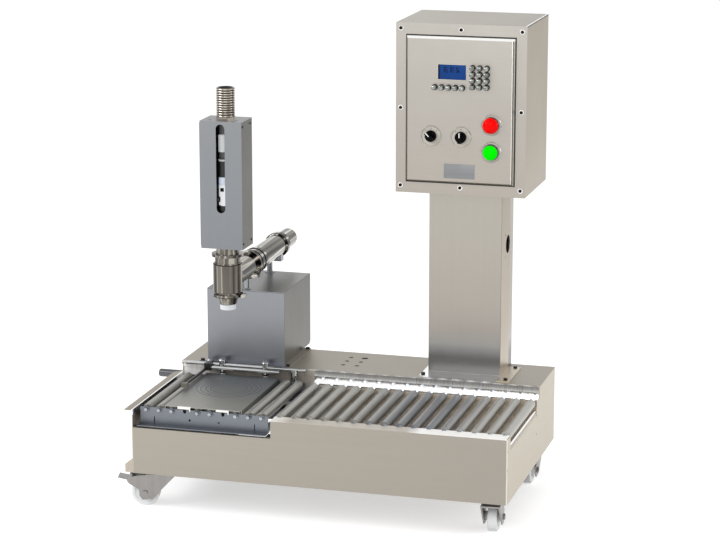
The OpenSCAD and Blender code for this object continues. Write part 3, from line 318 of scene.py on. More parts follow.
def plastic(f, code, rough=0.35, grain=0.25, worn=0.12):
    """Moulded plastic: fine texture, rubbed lighter in places."""
    texture = f.noise(1100, detail=1, rough=0.5)
    rub = f.steps(f.noise(55, detail=4, rough=0.7), 0.56, 0.82)
    drift = f.noise(12, detail=2)
    colour = f.toned(code, 1.0 + (drift - 0.5) * 0.24)
    return Look(f.mix(rub * worn, colour, tint("8A8A86")), 0.0,
                rough + (texture - 0.5) * 0.08 + rub * 0.14, texture * grain)


def finish(name, maker, *args, coat=0.0, ior=1.5, **keys):
    """A material with one look all over."""
    f = Finish(name)
    return f.close(maker(f, *args, **keys), coat=coat, ior=ior)


def patched(name, ground, patches):
    """A material whose look changes inside boxes: patches are (corners, look)."""
    f = Finish(name)
    whole = ground(f)
    for corners, inner in patches:
        mask = 0
        for low, high in corners:
            mask = f.inside(low, high) + mask
        whole = join(f, f.steps(mask, 0, 1), whole, inner(f))
    return f.close(whole)


def wear(node, material):
    """Dresses a CAD node in a material."""
    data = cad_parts[node].data
    data.materials.clear()
    data.materials.append(material)


# shaping


def slab(bm, low, high, edge=0.0):
    """A block between two corners in the machine's millimetres, its edges rounded by edge."""
    a, b = spot(*low), spot(*high)
    made = bmesh.ops.create_cube(bm, size=1.0)["verts"]
    bmesh.ops.scale(bm, vec=b - a, verts=made)
    bmesh.ops.translate(bm, vec=(a + b) / 2, verts=made)
    if edge:
        edges = list({e for v in made for e in v.link_edges})
        bmesh.ops.bevel(bm, geom=edges, offset=edge * MM, offset_type="OFFSET", affect="EDGES",
                        segments=2, profile=0.5, material=-1)


def lathe(bm, profile, centre, axis, steps):
    """Spins (radius, height) pairs in millimetres round an axis through centre."""
    line = Vector(axis).normalized()
    side = line.orthogonal().normalized()
    base = spot(*centre)
    ring = [bm.verts.new(base + (side * r + line * h) * MM) for r, h in profile]
    edges = [bm.edges.new(pair) for pair in zip(ring, ring[1:])]
    bmesh.ops.spin(bm, geom=ring + edges, cent=base, axis=line, angle=FULL_TURN,
                   steps=steps, use_merge=True, use_duplicate=False)


def torus(bm, centre, axis, ring_r, wire_r, steps=48, around=10):
    """A round ring of wire."""
    profile = [(ring_r + wire_r * math.cos(FULL_TURN * k / around),
                wire_r * math.sin(FULL_TURN * k / around)) for k in range(around + 1)]
    lathe(bm, profile, centre, axis, steps)


def settle(bm):
    """Closes seams and poles and turns every face outwards."""
    bmesh.ops.remove_doubles(bm, verts=bm.verts, dist=2e-6)
    bmesh.ops.dissolve_degenerate(bm, edges=bm.edges, dist=1e-7)
    bmesh.ops.recalc_face_normals(bm, faces=bm.faces)


def piece(name, bm, material, body, angle=35):
    """Turns a bmesh into a named piece that rides on a body."""
    settle(bm)
    data = bpy.data.meshes.new(name)
    bm.to_mesh(data)
    bm.free()
    data.materials.append(material)
    data.shade_smooth()
    data.set_sharp_from_angle(angle=math.radians(angle))
    made = bpy.data.objects.new(name, data)
    bpy.context.scene.collection.objects.link(made)
    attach(made, body)


# finishes


def painted_highlight_edge(f):
    """Painted highlight: a cut or folded edge of sheet made white mirror steel, so it shows as a bright
    line.
    """
    return polished(f, "FFFFFF", 0.16, "X", 0.1)


def panel_finishes():
    """Beige ground sheet on the four sides of the base and the conduit stub; painted light makes the right
    side lighter and the front darker to the right, and painted highlights and reflections make the folds
    bright.
    """
    # painted shade: the front grows a little darker towards the right
    front = look(brushed, Fade("X", -BASE_HALF, BASE_HALF, [(0, "A09A90"), (1, "9A948B")]),
                 "X", 0.42, 0.06, 0.08)
    # painted reflection on the top of the front flange: near white at its left end and over the right
    # third, beige between
    flange = look(paint, Fade("X", -125, TRAY_END, [
        (0, "F2F0EC"), (0.05, "DAD5CD"), (0.09, "B5AEA3"), (0.58, "B1AA9F"), (0.64, "F6F5F3"),
        (1, "F8F8F6")]), 0.35, 0.1)
    wear("front_panel", patched("ground_sheet_front", front, [
        ([((-125, -1, 270.5), (BASE_HALF, 45, 272.5))], flange)]))
    wear("rear_panel", finish("ground_sheet_long", brushed, "A39D94", "X"))
    # painted light: the right side is made lighter than the front
    wear("right_panel", patched("ground_sheet_right", look(brushed, "BBB3A4", "Y", 0.40, 0.06, 0.06), [
        ([((499.6, 34, 235.8), (500.4, 362, 236.8))], look(plastic, "4A4641", 0.5)),
        # painted highlight up the front edge of the right panel
        ([((TRAY_END, -1, 60), (500.4, 1.6, 272))], look(paint, "E9E2D5"))]))
    stub = look(polished, "5A5B5E", 0.25)
    fold = look(brushed, "9A9286", "Y", 0.4, 0.06, 0.06)
    wear("left_panel", patched("ground_sheet_left", look(brushed, "B2A99D", "Y", 0.4, 0.06, 0.06), [
        ([((-600, 408, 234), (-502.6, 446, 272))], stub),
        ([((-600, -1, 269), (-501, 396, 272.4))], fold),
        # painted highlight on the inner edge of the left flange
        ([((-501, -1, 258), (-497, DECK_FRONT, 272.4))], painted_highlight_edge)]))


def inner_finishes():
    """The deck with its lip, the wall behind the weigh section, the frame and the tray; painted
    reflections and highlights brighten the lip, the wall and the edges.
    """
    # painted reflections on the wall behind the weigh section: white at its left end, then light and dark
    # bands along it
    wall = look(brushed, Fade("X", -BASE_HALF, WEIGH_END, [
        (0, "FFFFFF"), (0.14, "FAF8F4"), (0.22, "B9B2A8"), (0.4, "958E85"), (0.62, "A0988F"),
        (0.8, "8B847B"), (1, "B5AEA4")]), "Z", 0.25, 0.6, 0.4, 0.15)
    # painted reflection on the deck's front lip: white at its foot, greying upwards
    lip = look(brushed, Fade("Z", 285, 301, [
        (0, "F4F4F2"), (0.3, "CBCAC8"), (0.6, "A3A2A0"), (1, "8C8B89")]), "Z", 0.3, 0.4, 0.4, 0.4)
    wear("deck_plate", patched("deck_sheet", look(brushed, "A09A8F", "X", 0.42, 0.08, 0.08), [
        ([((WEIGH_END, 394.4, 284), (BASE_HALF, 395.8, 301))], lip),
        ([((-BASE_HALF, 394.4, 284), (WEIGH_END, 395.8, 301))], wall),
        # painted highlight along the top of the deck's front edge
        ([((-BASE_HALF, 394.4, 301), (BASE_HALF, 395.6, 303.4))], painted_highlight_edge)]))
    wear("chassis_frame", patched("frame_paint", look(paint, "6A6B6C"), [
        ([((-520, 0, 70), (520, 600, 99.9))], look(polished, "A7A9AB", 0.28))]))
    tray = look(brushed, Fade("X", WEIGH_END, TRAY_END, [
        (0, "C9C6BF"), (0.25, "CFC4B5"), (0.6, "E0D2C0"), (1, "D4C7B5")]), "Y", 0.26, 0.5, 0.1, 0.25)
    wear("roller_bed", patched("tray_sheet", tray, [
        # painted highlights: the tray's rear flange and both its ends are made white
        ([((-122, 371, 269), (498, 401, 286))], painted_highlight_edge),
        ([((-122, 40, 240), (-114, 374, 248)), ((491, 40, 240), (498, 374, 248))], painted_highlight_edge),
        # the same painted reflections on the tray's rear wall in the weigh section
        ([((-BASE_HALF, 371, 236), (-122, 401, 301))], wall)]))


def platform_look(f):
    """Satin plate, darker to the back as painted shade, with engraved circles drawn dark as painted shade
    and a painted highlight along their outer edge.
    """
    shade = Fade("Y", 30, 368, [(0, "999891"), (0.35, "888883"), (0.7, "727576"), (1, "686C6F")])
    plate = brushed(f, shade, "X", 0.42, 0.08, 0.1, 0.8)
    # painted shade in each engraved circle, painted highlight just outside it
    groove_shade = f.near_upright(HEAD_X, HEAD_Y, [(r - 1.6, r + 0.8) for r in RING_RADII])
    rim_highlight = f.near_upright(HEAD_X, HEAD_Y, [(r + 0.8, r + 2.2) for r in RING_RADII])
    plate.colour = f.mix(groove_shade * 0.75, f.mix(rim_highlight * 0.4, plate.colour, tint("C9CCCE")), tint("3C3F42"))
    return plate


def conveyor_finishes():
    """Satin tubes, darker and bluer in the middle of the row as a painted reflection, their shafts, the
    weigh frame and its platform, whose tabs and rear edge carry a painted highlight.
    """
    # painted reflection: the tubes turn darker and bluer towards the middle of the row
    tube = finish("roller_tube", turned, Fade("X", -130, TRAY_END, [
        (0, "A5A39D"), (0.3, "9E9D97"), (0.5, "85878A"), (0.68, "85878B"), (0.82, "A6A5A1"),
        (1, "ADACA6")]), 0.34, "Y", 0.08, 0.7)
    for i in range(1, 17):
        wear(f"roller_{i:02d}", tube)
    free = finish("free_roller_tube", turned, "9B9A94", 0.36, "Y", 0.08, 0.7)
    for i in range(1, 5):
        wear(f"weigh_roller_{i}", free)
    wear("covered_rollers", free)
    wear("roller_shafts", finish("shaft_steel", polished, "B9BFC8", 0.16, "Y", 0.2))
    pins = look(polished, "A3A6A8", 0.24, "Y", 0.3)
    washers = look(polished, "6A6F75", 0.2, "Y", 0.5)
    wear("weigh_frame", patched("weigh_sheet", look(brushed, "787C82", "X", 0.38, 0.06, 0.08), [
        ([((-600, 30.7, 240), (0, 32.97, 275))], washers),
        ([((-600, 20, 240), (0, 30.7, 275))], pins)]))
    # painted highlight: the platform's hook tabs and rear edge are made near white
    hook_highlight = look(polished, "E2E2DF", 0.2, "X", 0.2)
    wear("weigh_platform", patched("platform_sheet", platform_look, [
        ([((-384, 20, 260), (-347, 33, 285)), ((-279, 20, 260), (-242, 33, 285)),
          ((-600, 360.2, 260), (0, 380, 285))], hook_highlight)]))
    wear("load_cell", finish("cell_aluminium", turned, "C2C3C5", 0.35, "X"))


def guide_finishes():
    """The bright guide stand and rods, with the black arm and its pad."""
    wear("guide_stand", finish("guide_steel", polished, "A9AAAA", 0.12, "Z", 0.6))
    wear("guide_rods", patched("guide_rod_steel", look(polished, "B9BABA", 0.10, "X", 0.5), [
        ([((-427, 199.9, 286), (-417, 361.9, 298)),
          ((-426.5, 361.5, 287), (-407.6, 394.5, 308.02))], look(plastic, "131315", 0.3)),
        ([((-432, 186, 284), (-412, 200, 300))], look(plastic, "6E6A63", 0.45))]))


def pipe_finishes():
    """The mirror-polished pipe, the duller nozzle under it and its white tip; pipe, nozzle and branch
    carry painted reflection bands.
    """
    wear("lift_posts", finish("post_steel", polished, "86898B", 0.14, "Z", 0.6))
    # painted reflection bands on the pipe, the nozzle and its branch
    wear("inlet_pipe", finish("pipe_steel", reflection_band_tube, "8B877D", "Y", "12110F", 0.07, "E4E2DC", "65615A"))
    nozzle = look(reflection_band_tube, "6E6A63", "Z", "3B3834", 0.2, "A9A59B", "605C56")
    branch = look(reflection_band_tube, "8A857B", "Y", "1F1D1B", 0.08, "C9C6BF", "6A665F")
    wear("nozzle_body", patched("nozzle_steel", nozzle, [
        ([((-360, 270, 530), (-260, 420, 640))], branch)]))
    wear("valve_stem", patched("tip_plastic", look(plastic, "DDE1E4", 0.5, worn=0.06), [
        ([((-340, 200, 530), (-280, 262, 900))], look(polished, "B0B0B0", 0.15, "Z"))]))


def housing_finish():
    """The grey head housing with black screws; painted light makes its front lighter towards the top and
    painted shade its right side darker.
    """
    front = look(brushed, Fade("Z", HOUSE_Z, HOUSE_TOP, [
        (0, "7F8286"), (0.5, "86898C"), (1, "8B8D90")]), "Z", 0.36, 0.05, 0.06)
    # painted shade: the right side is a darker copy of the front
    side = look(brushed, "61605C", "Z", 0.38, 0.05, 0.06)
    screws = [((-380, 180, 670), (-369.52, 280, 1020)), ((-252.96, 180, 670), (-240, 280, 1020)),
              ((-369, 186, 1009.1), (-253, 280, 1013))]
    wear("head_housing", patched("head_sheet", front, [
        ([((-253.4, 186.4, 672.5), (-252.9, 290, 1007.5))], side),
        (screws, look(plastic, "141416", 0.3))]))


def lift_finish():
    """Blue-grey front, warmer side and top, and a foot flange like the deck: one sheet toned face by face
    as painted light, the side darker upwards and the top lighter to the right.
    """
    front = look(brushed, Fade("Z", DECK_Z, LIFT_TOP, [
        (0, "8B8D93"), (0.35, "8A8C91"), (1, "8B8D91")]), "Z", 0.32, 0.05, 0.10)
    side = look(brushed, Fade("Z", DECK_Z, LIFT_TOP, [
        (0, "6F6D67"), (1, "5E5D59")]), "Z", 0.36, 0.05, 0.06)
    top = look(brushed, Fade("X", LIFT_X0, LIFT_X1, [
        (0, "6A6C6E"), (1, "888884")]), "X", 0.34, 0.05, 0.1)
    foot = look(brushed, "A09A8F", "X", 0.42, 0.08, 0.08)
    wear("lift_housing", patched("housing_sheet", front, [
        ([((LIFT_X1 - 0.3, 414.6, 306), (LIFT_X1 + 0.2, 658, LIFT_TOP + 1))], side),
        ([((LIFT_X0 + 0.5, 414.6, LIFT_TOP - 0.2), (LIFT_X1 - 0.5, 658, LIFT_TOP + 0.3))], top),
        ([((LIFT_X1, 400, 300), (-150, 680, 306.3)), ((-500, 400, 300), (LIFT_X0, 680, 306.3))], foot)]))


def actuator_finish():
    """The valve drive behind the slot: grey blocks, black bands and a bright bracket, with the left part
    of the slot made black as painted shade.
    """
    z = HOUSE_Z
    body = look(polished, "8C8F8E", 0.3, "Z", 0.3)
    dark = look(plastic, "565A58", 0.35)
    black = look(plastic, "0C0C0E", 0.35)
    block = look(paint, "D3D6D6", 0.4)
    pale = look(paint, "DCE3F2", 0.4)
    bracket = look(polished, "D4D6D7", 0.28, "Z", 0.3)
    tube = look(turned, Fade("Z", HOUSE_TOP, z + 420, [(0, "A59C91"), (1, "8A8178")]), 0.2, "Z", 0.5)

    def across(low, high):
        return (-350, 180, z + low), (-270, 275, z + high)

    wear("fill_actuator", patched("actuator_metal", body, [
        ([across(0, 113), across(189, 231)], black),
        ([across(236, 256), across(302, 334)], dark),
        ([across(256, 302), across(231, 236)], block),
        ([across(168, 189)], pale),
        ([across(113, 168)], bracket),
        # painted shade: the left part of the slot is made black
        ([((-360, 180, z + 113), (-319.5, 275, z + 334))], black),
        ([((-331, 180, z + 124), (-316, 197.4, z + 138)),
          ((-316, 189, z + 151), (-306, 212, z + 161))], black),
        ([((-345, 190, HOUSE_TOP), (-275, 272, z + 440))], tube)]))


def column_finish():
    """Grey at the foot of the front, a painted reflection of the deck, and cream on the side, toned darker
    upwards as painted light; the foot tabs carry a painted highlight along their front.
    """
    front = look(brushed, Fade("Z", COLUMN_Z, CAB_Z, [
        (0, "757472"), (0.084, "7C7B79"), (0.124, "9A9998"), (0.16, "ABA9A5"), (0.24, "A7A19A"),
        (0.5, "A39D95"), (1, "A7A39A")]), "Z", 0.34, 0.05, 0.05)
    side = look(brushed, Fade("Z", COLUMN_Z, CAB_Z, [
        (0, "B8AD9B"), (0.3, "A89D8B"), (1, "988E7D")]), "Z", 0.36, 0.05, 0.05)
    foot = look(brushed, "CFC6B7", "Y", 0.4, 0.06, 0.06)
    corner = look(brushed, "8C8A86", "Z", 0.4, 0.06, 0.06)
    wear("column", patched("column_sheet", front, [
        ([((378.2, 459.4, 306.1), (378.8, 562, 808))], side),
        ([((376.9, 458, 306.1), (378.7, 459.4, 807))], corner),
        # painted highlight along the front of the foot tabs
        ([((160, 395, 302.8), (378.52, 459.04, 306.1)),
          ((160, 395, 302.8), (180.47, 565, 306.1))], painted_highlight_edge),
        ([((378.53, 395, 302.8), (420, 565, 306.1))], foot)]))


def cover_finish():
    """Beige cover, a little lighter towards the top; painted highlights and painted shade on the bevels of
    its raised panel make them shine at the top and darken at the right.
    """
    x0, x1, z0, z1 = PANEL_X0, PANEL_X1, PANEL_Z0, PANEL_Z1
    y0, y1 = FACE_Y + 0.05, CAB_Y + 0.01
    bevel = 7.2
    ground = look(brushed, Fade("Z", CAB_Z, CAB_TOP, [
        (0, "A6A098"), (0.5, "AAA59E"), (1, "B3AFA8")]), "X", 0.38, 0.05, 0.06)
    disc = look(paint, "C4BFB5", 0.4)
    discs = [((CAB_X - 104, 370, CAB_Z + 127), (CAB_X + 34, 381.99, CAB_Z + 185)),
             ((CAB_X + 57, 370, CAB_Z + 92), (CAB_X + 114, 381.99, CAB_Z + 220))]
    # painted highlight on the top bevel, with painted shade along its upper edge
    top = look(paint, Fade("Z", z1 - bevel, z1, [
        (0, "FAFAF8"), (0.72, "FAFAF8"), (0.8, "2C2A28"), (1, "2C2A28")]), 0.3, 0.1)
    # painted shade on the lower bevel, darkest at its foot
    low = look(brushed, Fade("Z", z0, z0 + bevel, [
        (0, "5F5A52"), (0.3, "7C776E"), (1, "BDB7AD")]), "X", 0.34, 0.06)
    # painted highlight and painted shade in bands across the right bevel
    right = look(brushed, Fade("X", x1 - bevel, x1, [
        (0, "EEEBE5"), (0.16, "EEEBE5"), (0.28, "5A5753"), (0.45, "6A6762"), (0.6, "D2CFC9"),
        (0.8, "A9A69F"), (0.9, "45423F"), (1, "45423F")]), "Z", 0.34, 0.06)
    # painted shade at the outer edge of the left bevel, lighter inwards
    left = look(brushed, Fade("X", x0, x0 + bevel, [
        (0, "8B8376"), (0.3, "C4BEB3"), (1, "E4E0D8")]), "Z", 0.34, 0.06)
    wear("cabinet_cover", patched("cover_sheet", ground, [
        (discs, disc),
        ([((x0, y0, z0), (x0 + bevel, y1, z1))], left),
        ([((x1 - bevel, y0, z0), (x1 + 0.1, y1, z1))], right),
        ([((x0 + 1.5, y0, z0 - 0.1), (x1 - 6, y1, z0 + bevel))], low),
        ([((x0 + 1.5, y0, z1 - bevel), (x1 - 1.5, y1, z1 + 0.1))], top)]))


def shell_finish():
    """The cabinet's sheet box, its side and top toned apart as painted light; the fold along the right of
    its top is a painted highlight over a dark line of painted shade.
    """
    side = look(brushed, Fade("Z", CAB_Z, CAB_TOP, [
        (0, "A69D8E"), (0.5, "A09686"), (1, "9B9181")]), "Z", 0.38, 0.05, 0.05)
    top = look(brushed, Fade("X", CAB_X - CAB_HALF, CAB_X + CAB_HALF, [
        (0, "ABA69C"), (1, "A19B91")]), "X", 0.38, 0.05, 0.05)
    fold = CAB_X + CAB_HALF - 0.2
    wear("cabinet_shell", patched("cabinet_sheet", side, [
        ([((CAB_X - 173, 399, CAB_TOP + 0.2), (fold - 4.6, 760, CAB_TOP + 1))], top),
        # painted highlight on the fold, painted shade in the dark line under it
        ([((fold - 4.6, 399, CAB_TOP + 0.2), (fold - 0.3, 760, CAB_TOP + 1))], painted_highlight_edge),
        ([((fold - 0.3, 399, CAB_TOP - 2.8), (fold + 0.4, 760, CAB_TOP + 0.6))],
         look(plastic, "3A3834", 0.5))]))


def control_finishes():
    """Display, keys, selectors, push buttons and the black screws."""
    wear("display_unit", finish("display_body", plastic, "1D4788", 0.3))
    wear("keypad_keys", finish("key_metal", polished, "6F726F", 0.2, "Y"))
    knob = finish("knob_plastic", plastic, "030304", 0.45, ior=1.15)
    for name in SELECTORS:
        wear(name, knob)
    stop = finish("stop_plastic", plastic, "F80101", 0.25, 0.1, worn=0.0, coat=0.08, ior=1.1)
    wear("stop_button", stop)
    wear("start_button", finish("start_plastic", plastic, "01F801", 0.35, 0.1, worn=0.0, ior=1.1))
    wear("fasteners", finish("screw_black", polished, "26272A", 0.35))


def caster_finishes():
    """Zinc forks and pedal, white nylon wheels."""
    zinc = finish("caster_zinc", polished, "918E8C", 0.30, "Z", 0.2)
    nylon = finish("wheel_nylon", plastic, "F2F4F4", 0.45, worn=0.06)
    for corner in CASTERS:
        wear(f"caster_fork_{corner}", zinc)
        wear(f"caster_wheel_{corner}", nylon)
    wear("brake_pedal", zinc)


# pieces that only the picture needs


def lcd_marks(f):
    """Where the display shows something: three small groups of dots, no characters."""
    cells = f.noise(300, (1, 0.001, 1), 0)
    groups = 0
    for x in (-37, -20.5, -5):
        groups = f.inside((CAB_X + x - 5, 378, CAB_Z + 324), (CAB_X + x + 5, 390, CAB_Z + 339)) + groups
    return groups * (cells > 0.5)


def frame_strips(x0, x1, z0, z1, width):
    """The four strips round an opening, as pairs of (x, z) corners."""
    return [((x0 - width, z0 - width), (x1 + width, z0)), ((x0 - width, z1), (x1 + width, z1 + width)),
            ((x0 - width, z0), (x0, z1)), ((x1, z0), (x1 + width, z1))]


def display_window():
    """The display's window with a pale frame round it."""
    x0, x1 = DISPLAY_X - DISPLAY_W, DISPLAY_X + DISPLAY_W
    z0, z1 = DISPLAY_Z - DISPLAY_H, DISPLAY_Z + DISPLAY_H
    bm = bmesh.new()
    slab(bm, (x0, FACE_Y - 0.3, z0), (x1, FACE_Y + 0.5, z1), 0.2)
    f = Finish("display_glass")
    blue = Fade("X", x0, x1, [(0, "071538"), (0.05, "071538"), (0.08, "163E7C"), (1, "1B478C")])
    smear = f.noise(25, detail=3)
    glass = Look(f.mix(lcd_marks(f), f.toned(blue, 0.9 + smear * 0.2), tint("08080E")), 0.0,
                 0.3 + smear * 0.1, smear * 0.1)
    piece("display_window", bm, f.close(glass, ior=1.2), "base")
    bm = bmesh.new()
    for (xa, za), (xb, zb) in frame_strips(x0, x1, z0, z1, 1.2):
        slab(bm, (xa, FACE_Y - 0.5, za), (xb, FACE_Y - 0.02, zb), 0.1)
    beige = finish("frame_beige", plastic, "D2CDB8", 0.4)
    piece("display_frame", bm, beige, "base")


def key_spots():
    """The places of the five keys in the row and the twelve in the block."""
    row = [(CAB_X - 29.1 + k * 18.3, CAB_Z + 285) for k in range(-2, 3)]
    pad = [(CAB_X + 53.5 + c * 18.85, CAB_Z + 289 + r * 16.5) for c in (-1, 0, 1) for r in range(4)]
    return row + pad


def key_caps():
    """A domed cap on each key, and a collar where it enters the cover, made near black as painted shade
    round the key.
    """
    caps, collars = bmesh.new(), bmesh.new()
    for x, z in key_spots():
        lathe(caps, [(0, -1.5), (2.6, -1.3), (4.4, -0.7), (5.6, 0.2), (6.35, 1.0), (6.4, 2.0), (6.3, 2.2)],
              (x, FACE_Y - 15, z), (0, 1, 0), 20)
        lathe(collars, [(6.4, -1.2), (7.2, -1.2), (8.3, -0.3), (8.3, -0.05), (6.4, -0.05), (6.4, -1.2)],
              (x, FACE_Y, z), (0, 1, 0), 20)
    cap_metal = finish("key_cap_metal", polished, "8A8D89", 0.12, "Y", 1.2)
    piece("key_caps", caps, cap_metal, "base")
    # painted shade: the collar is near black
    collar_shade_metal = finish("collar_shade_metal", turned, "3A3C3A", 0.3, "Y")
    piece("key_collars", collars, collar_shade_metal, "base")


def button_caps():
    """The wide red dome, and the green cap that is hollow round the collar of the cover."""
    red, green = bmesh.new(), bmesh.new()
    lathe(red, [(0, -26.5), (5, -26.3), (10, -25.2), (14.5, -23), (18, -19.6), (20.2, -15.6),
                (21, -11.5), (20.6, -9.5), (0, -9.5)], (BUTTON_X, FACE_Y, STOP_Z), (0, 1, 0), 56)
    lathe(green, [(0, -14.6), (17.6, -14.6), (18.7, -14), (19.1, -13), (19.1, -9.8), (16.6, -9.8),
                  (16.6, -13.3), (13.5, -13.3), (13.5, -11.9), (0, -11.9)],
          (BUTTON_X, FACE_Y, START_Z), (0, 1, 0), 56)
    piece("stop_dome", red, MADE["stop_plastic"], "stop_button", 60)
    piece("start_cap", green, MADE["start_plastic"], "start_button")


def button_skirts():
    """A dark skirt that moves with each cap, and the fixed ring it dips into."""
    black = finish("skirt_black", plastic, "232221", 0.35)
    rings = bmesh.new()
    for name, z, inner, r, far in (("stop", STOP_Z, 13, 18.8, -9.6), ("start", START_Z, 16.6, 18.6, -9.9)):
        skirt = bmesh.new()
        at = (BUTTON_X, FACE_Y, z)
        lathe(skirt, [(inner, far), (r, far), (r + 0.3, far + 0.5), (r + 0.3, -5.3), (inner, -5.3),
                      (inner, far)], at, (0, 1, 0), 48)
        lathe(rings, [(19.8, -1.2), (19.8, -4.4), (20.3, -5), (21.2, -5), (21.8, -4.2), (21.8, -1.2),
                      (19.8, -1.2)], at, (0, 1, 0), 48)
        piece(f"{name}_skirt", skirt, black, f"{name}_button")
    grey = finish("ring_grey", polished, "77787A", 0.25)
    piece("button_rings", rings, grey, "base")


def pointers():
    """The white line along the bar of each selector."""
    white = finish("pointer_white", plastic, "F4F4F2", 0.4, worn=0.03)
    top = FACE_Y - 22.4
    for name, (x, turn) in SELECTORS.items():
        bm = bmesh.new()
        slab(bm, (x - 1.3, top, SELECTOR_Z + 1.5), (x + 1.3, top + 0.48, SELECTOR_Z + 14), 0.1)
        bmesh.ops.rotate(bm, verts=bm.verts, cent=spot(x, FACE_Y, SELECTOR_Z),
                         matrix=Matrix.Rotation(math.radians(turn), 3, "Y"))
        piece(f"{name}_line", bm, white, name)


def legend_rims():
    """The raised edge of each round legend plate."""
    bm = bmesh.new()
    places = [(x, SELECTOR_Z) for x, turn in SELECTORS.values()]
    for x, z in places + [(BUTTON_X, STOP_Z), (BUTTON_X, START_Z)]:
        lathe(bm, [(25.0, -1.05), (25.6, -2.6), (26.6, -2.6), (27.6, -1.2), (27.6, -0.06),
                   (25.0, -0.06), (25.0, -1.05)], (x, FACE_Y, z), (0, 1, 0), 64)
    piece("legend_rims", bm, finish("rim_metal", polished, "BEBBB4", 0.25), "base")


def setting_marks():
    """Three plain marks round each selector."""
    bm = bmesh.new()
    reach = 20.5
    for x, turn in SELECTORS.values():
        for mark in (-45, 0, 45):
            a = math.radians(mark)
            cx, cz = x + reach * math.sin(a), SELECTOR_Z + reach * math.cos(a)
            slab(bm, (cx - 0.7, FACE_Y - 1.25, cz - 1.6), (cx + 0.7, FACE_Y - 1.02, cz + 1.6), 0.08)
    piece("setting_marks", bm, finish("mark_ink", plastic, "1A1A1A", 0.5), "base")


def door_seam():
    """A dark line in the gap round the raised panel, painted shadow of that gap."""
    bm = bmesh.new()
    for (xa, za), (xb, zb) in frame_strips(PANEL_X0, PANEL_X1, PANEL_Z0, PANEL_Z1, 1.8):
        slab(bm, (xa, CAB_Y - 0.9, za), (xb, CAB_Y - 0.02, zb), 0.2)
    piece("door_seam", bm, finish("gap_shadow", plastic, "3A3A38", 0.6), "base")


def label_plate():
    """The bare nameplate under the buttons."""
    bm = bmesh.new()
    x, z = CAB_X + 0.9, CAB_Z + 46
    slab(bm, (x - 41, FACE_Y - 1.3, z), (x + 41, FACE_Y - 0.86, z + 38), 0.15)
    metal = finish("label_aluminium", brushed, "868889", "X", 0.45, 0.3, 0.3)
    piece("label_plate", bm, metal, "base")


def slot_outline():
    """The slot's outline as (x, z) points: two half circles with straight sides between."""
    x, r = HEAD_X - 1, 12
    turns = [math.pi * k / 12 for k in range(13)]
    upper = [(x + r * math.cos(a), HOUSE_Z + 330 - r + r * math.sin(a)) for a in turns]
    lower = [(x - r * math.cos(a), HOUSE_Z + 96 + r - r * math.sin(a)) for a in turns]
    return upper + lower


def slot_rim():
    """The bright cut edge of the slot in the head housing."""
    bm = bmesh.new()
    depth = 2.8
    inner = [bm.verts.new(spot(x, HEAD_Y - 45.25, z)) for x, z in slot_outline()]
    face = bm.faces.new(inner)
    ring = bmesh.ops.inset_region(bm, faces=[face], thickness=1.0 * MM, depth=0.0, use_boundary=True)
    bmesh.ops.delete(bm, geom=[face], context="FACES")
    back = bmesh.ops.extrude_face_region(bm, geom=ring["faces"])["geom"]
    moved = [g for g in back if isinstance(g, bmesh.types.BMVert)]
    bmesh.ops.translate(bm, vec=Vector((0, depth * MM, 0)), verts=moved)
    steel = finish("cut_edge_steel", polished, "C4C6C8", 0.25, "Z")
    piece("slot_edge", bm, steel, "filling_head")


def rib_metal():
    """Bright ribs, with painted shade making the grooves between them dark."""
    f = Finish("tube_metal")
    ribs = turned(f, "A59E93", 0.18, "Z", 0.1)
    # painted shade: nearer the axis than 23.1 mm, in the valleys between ribs, the tube is made near black
    groove_shade = f.near_upright(HEAD_X, HEAD_Y, [(0, 23.1)])
    ribs.colour = f.mix(groove_shade * 0.9, ribs.colour, tint("1C1A18"))
    return f.close(ribs)


def tube_ribs():
    """Rounded ribs over the flexible tube on the head."""
    bm = bmesh.new()
    pitch = 74 / 11.6
    profile = [(22.0, 7.2)]
    for k in range(12):
        z = 8 + k * pitch
        profile += [(22.2, z - 0.6), (24.3, z + 0.3), (24.8, z + 1.7), (24.3, z + 3.1), (22.2, z + 4.0)]
    profile += [(22.0, 83), (20.5, 83.6), (18.2, 83.2), (18.05, 70), (18.05, 8)]
    lathe(bm, profile, (HEAD_X, HEAD_Y, HOUSE_TOP), (0, 0, 1), 48)
    piece("ribbed_tube", bm, rib_metal(), "filling_head")


def tube_lining():
    """A black lining in the open tube end, painted shade standing in for its dark inside."""
    bm = bmesh.new()
    lathe(bm, [(0, 76), (17.6, 76), (18.0, 77), (18.0, 82.6)], (HEAD_X, HEAD_Y, HOUSE_TOP), (0, 0, 1), 48)
    bmesh.ops.solidify(bm, geom=bm.faces[:], thickness=-0.4 * MM)
    black = finish("tube_shade_black", plastic, "0A0A0B", 0.5)
    piece("tube_lining", bm, black, "filling_head")


def pipe_seals():
    """Dark rubber joints in the polished pipe and round the nozzle's body."""
    bm = bmesh.new()
    for y, r in ((406, 39.2), (430, 35.1), (457.5, 35.1), (473.2, 31.2), (657, 35.2)):
        torus(bm, (HEAD_X, y, PIPE_Z), (0, 1, 0), r - 0.8, 1.1)
    for z, r in ((BODY_Z + 7, 38.4), (BODY_Z + 81, 38.4), (BODY_Z - 5, 40)):
        torus(bm, (HEAD_X, HEAD_Y, z), (0, 0, 1), r - 0.9, 1.2)
    piece("joint_rings", bm, finish("joint_rubber", plastic, "1C1B1A", 0.4), "filling_head")


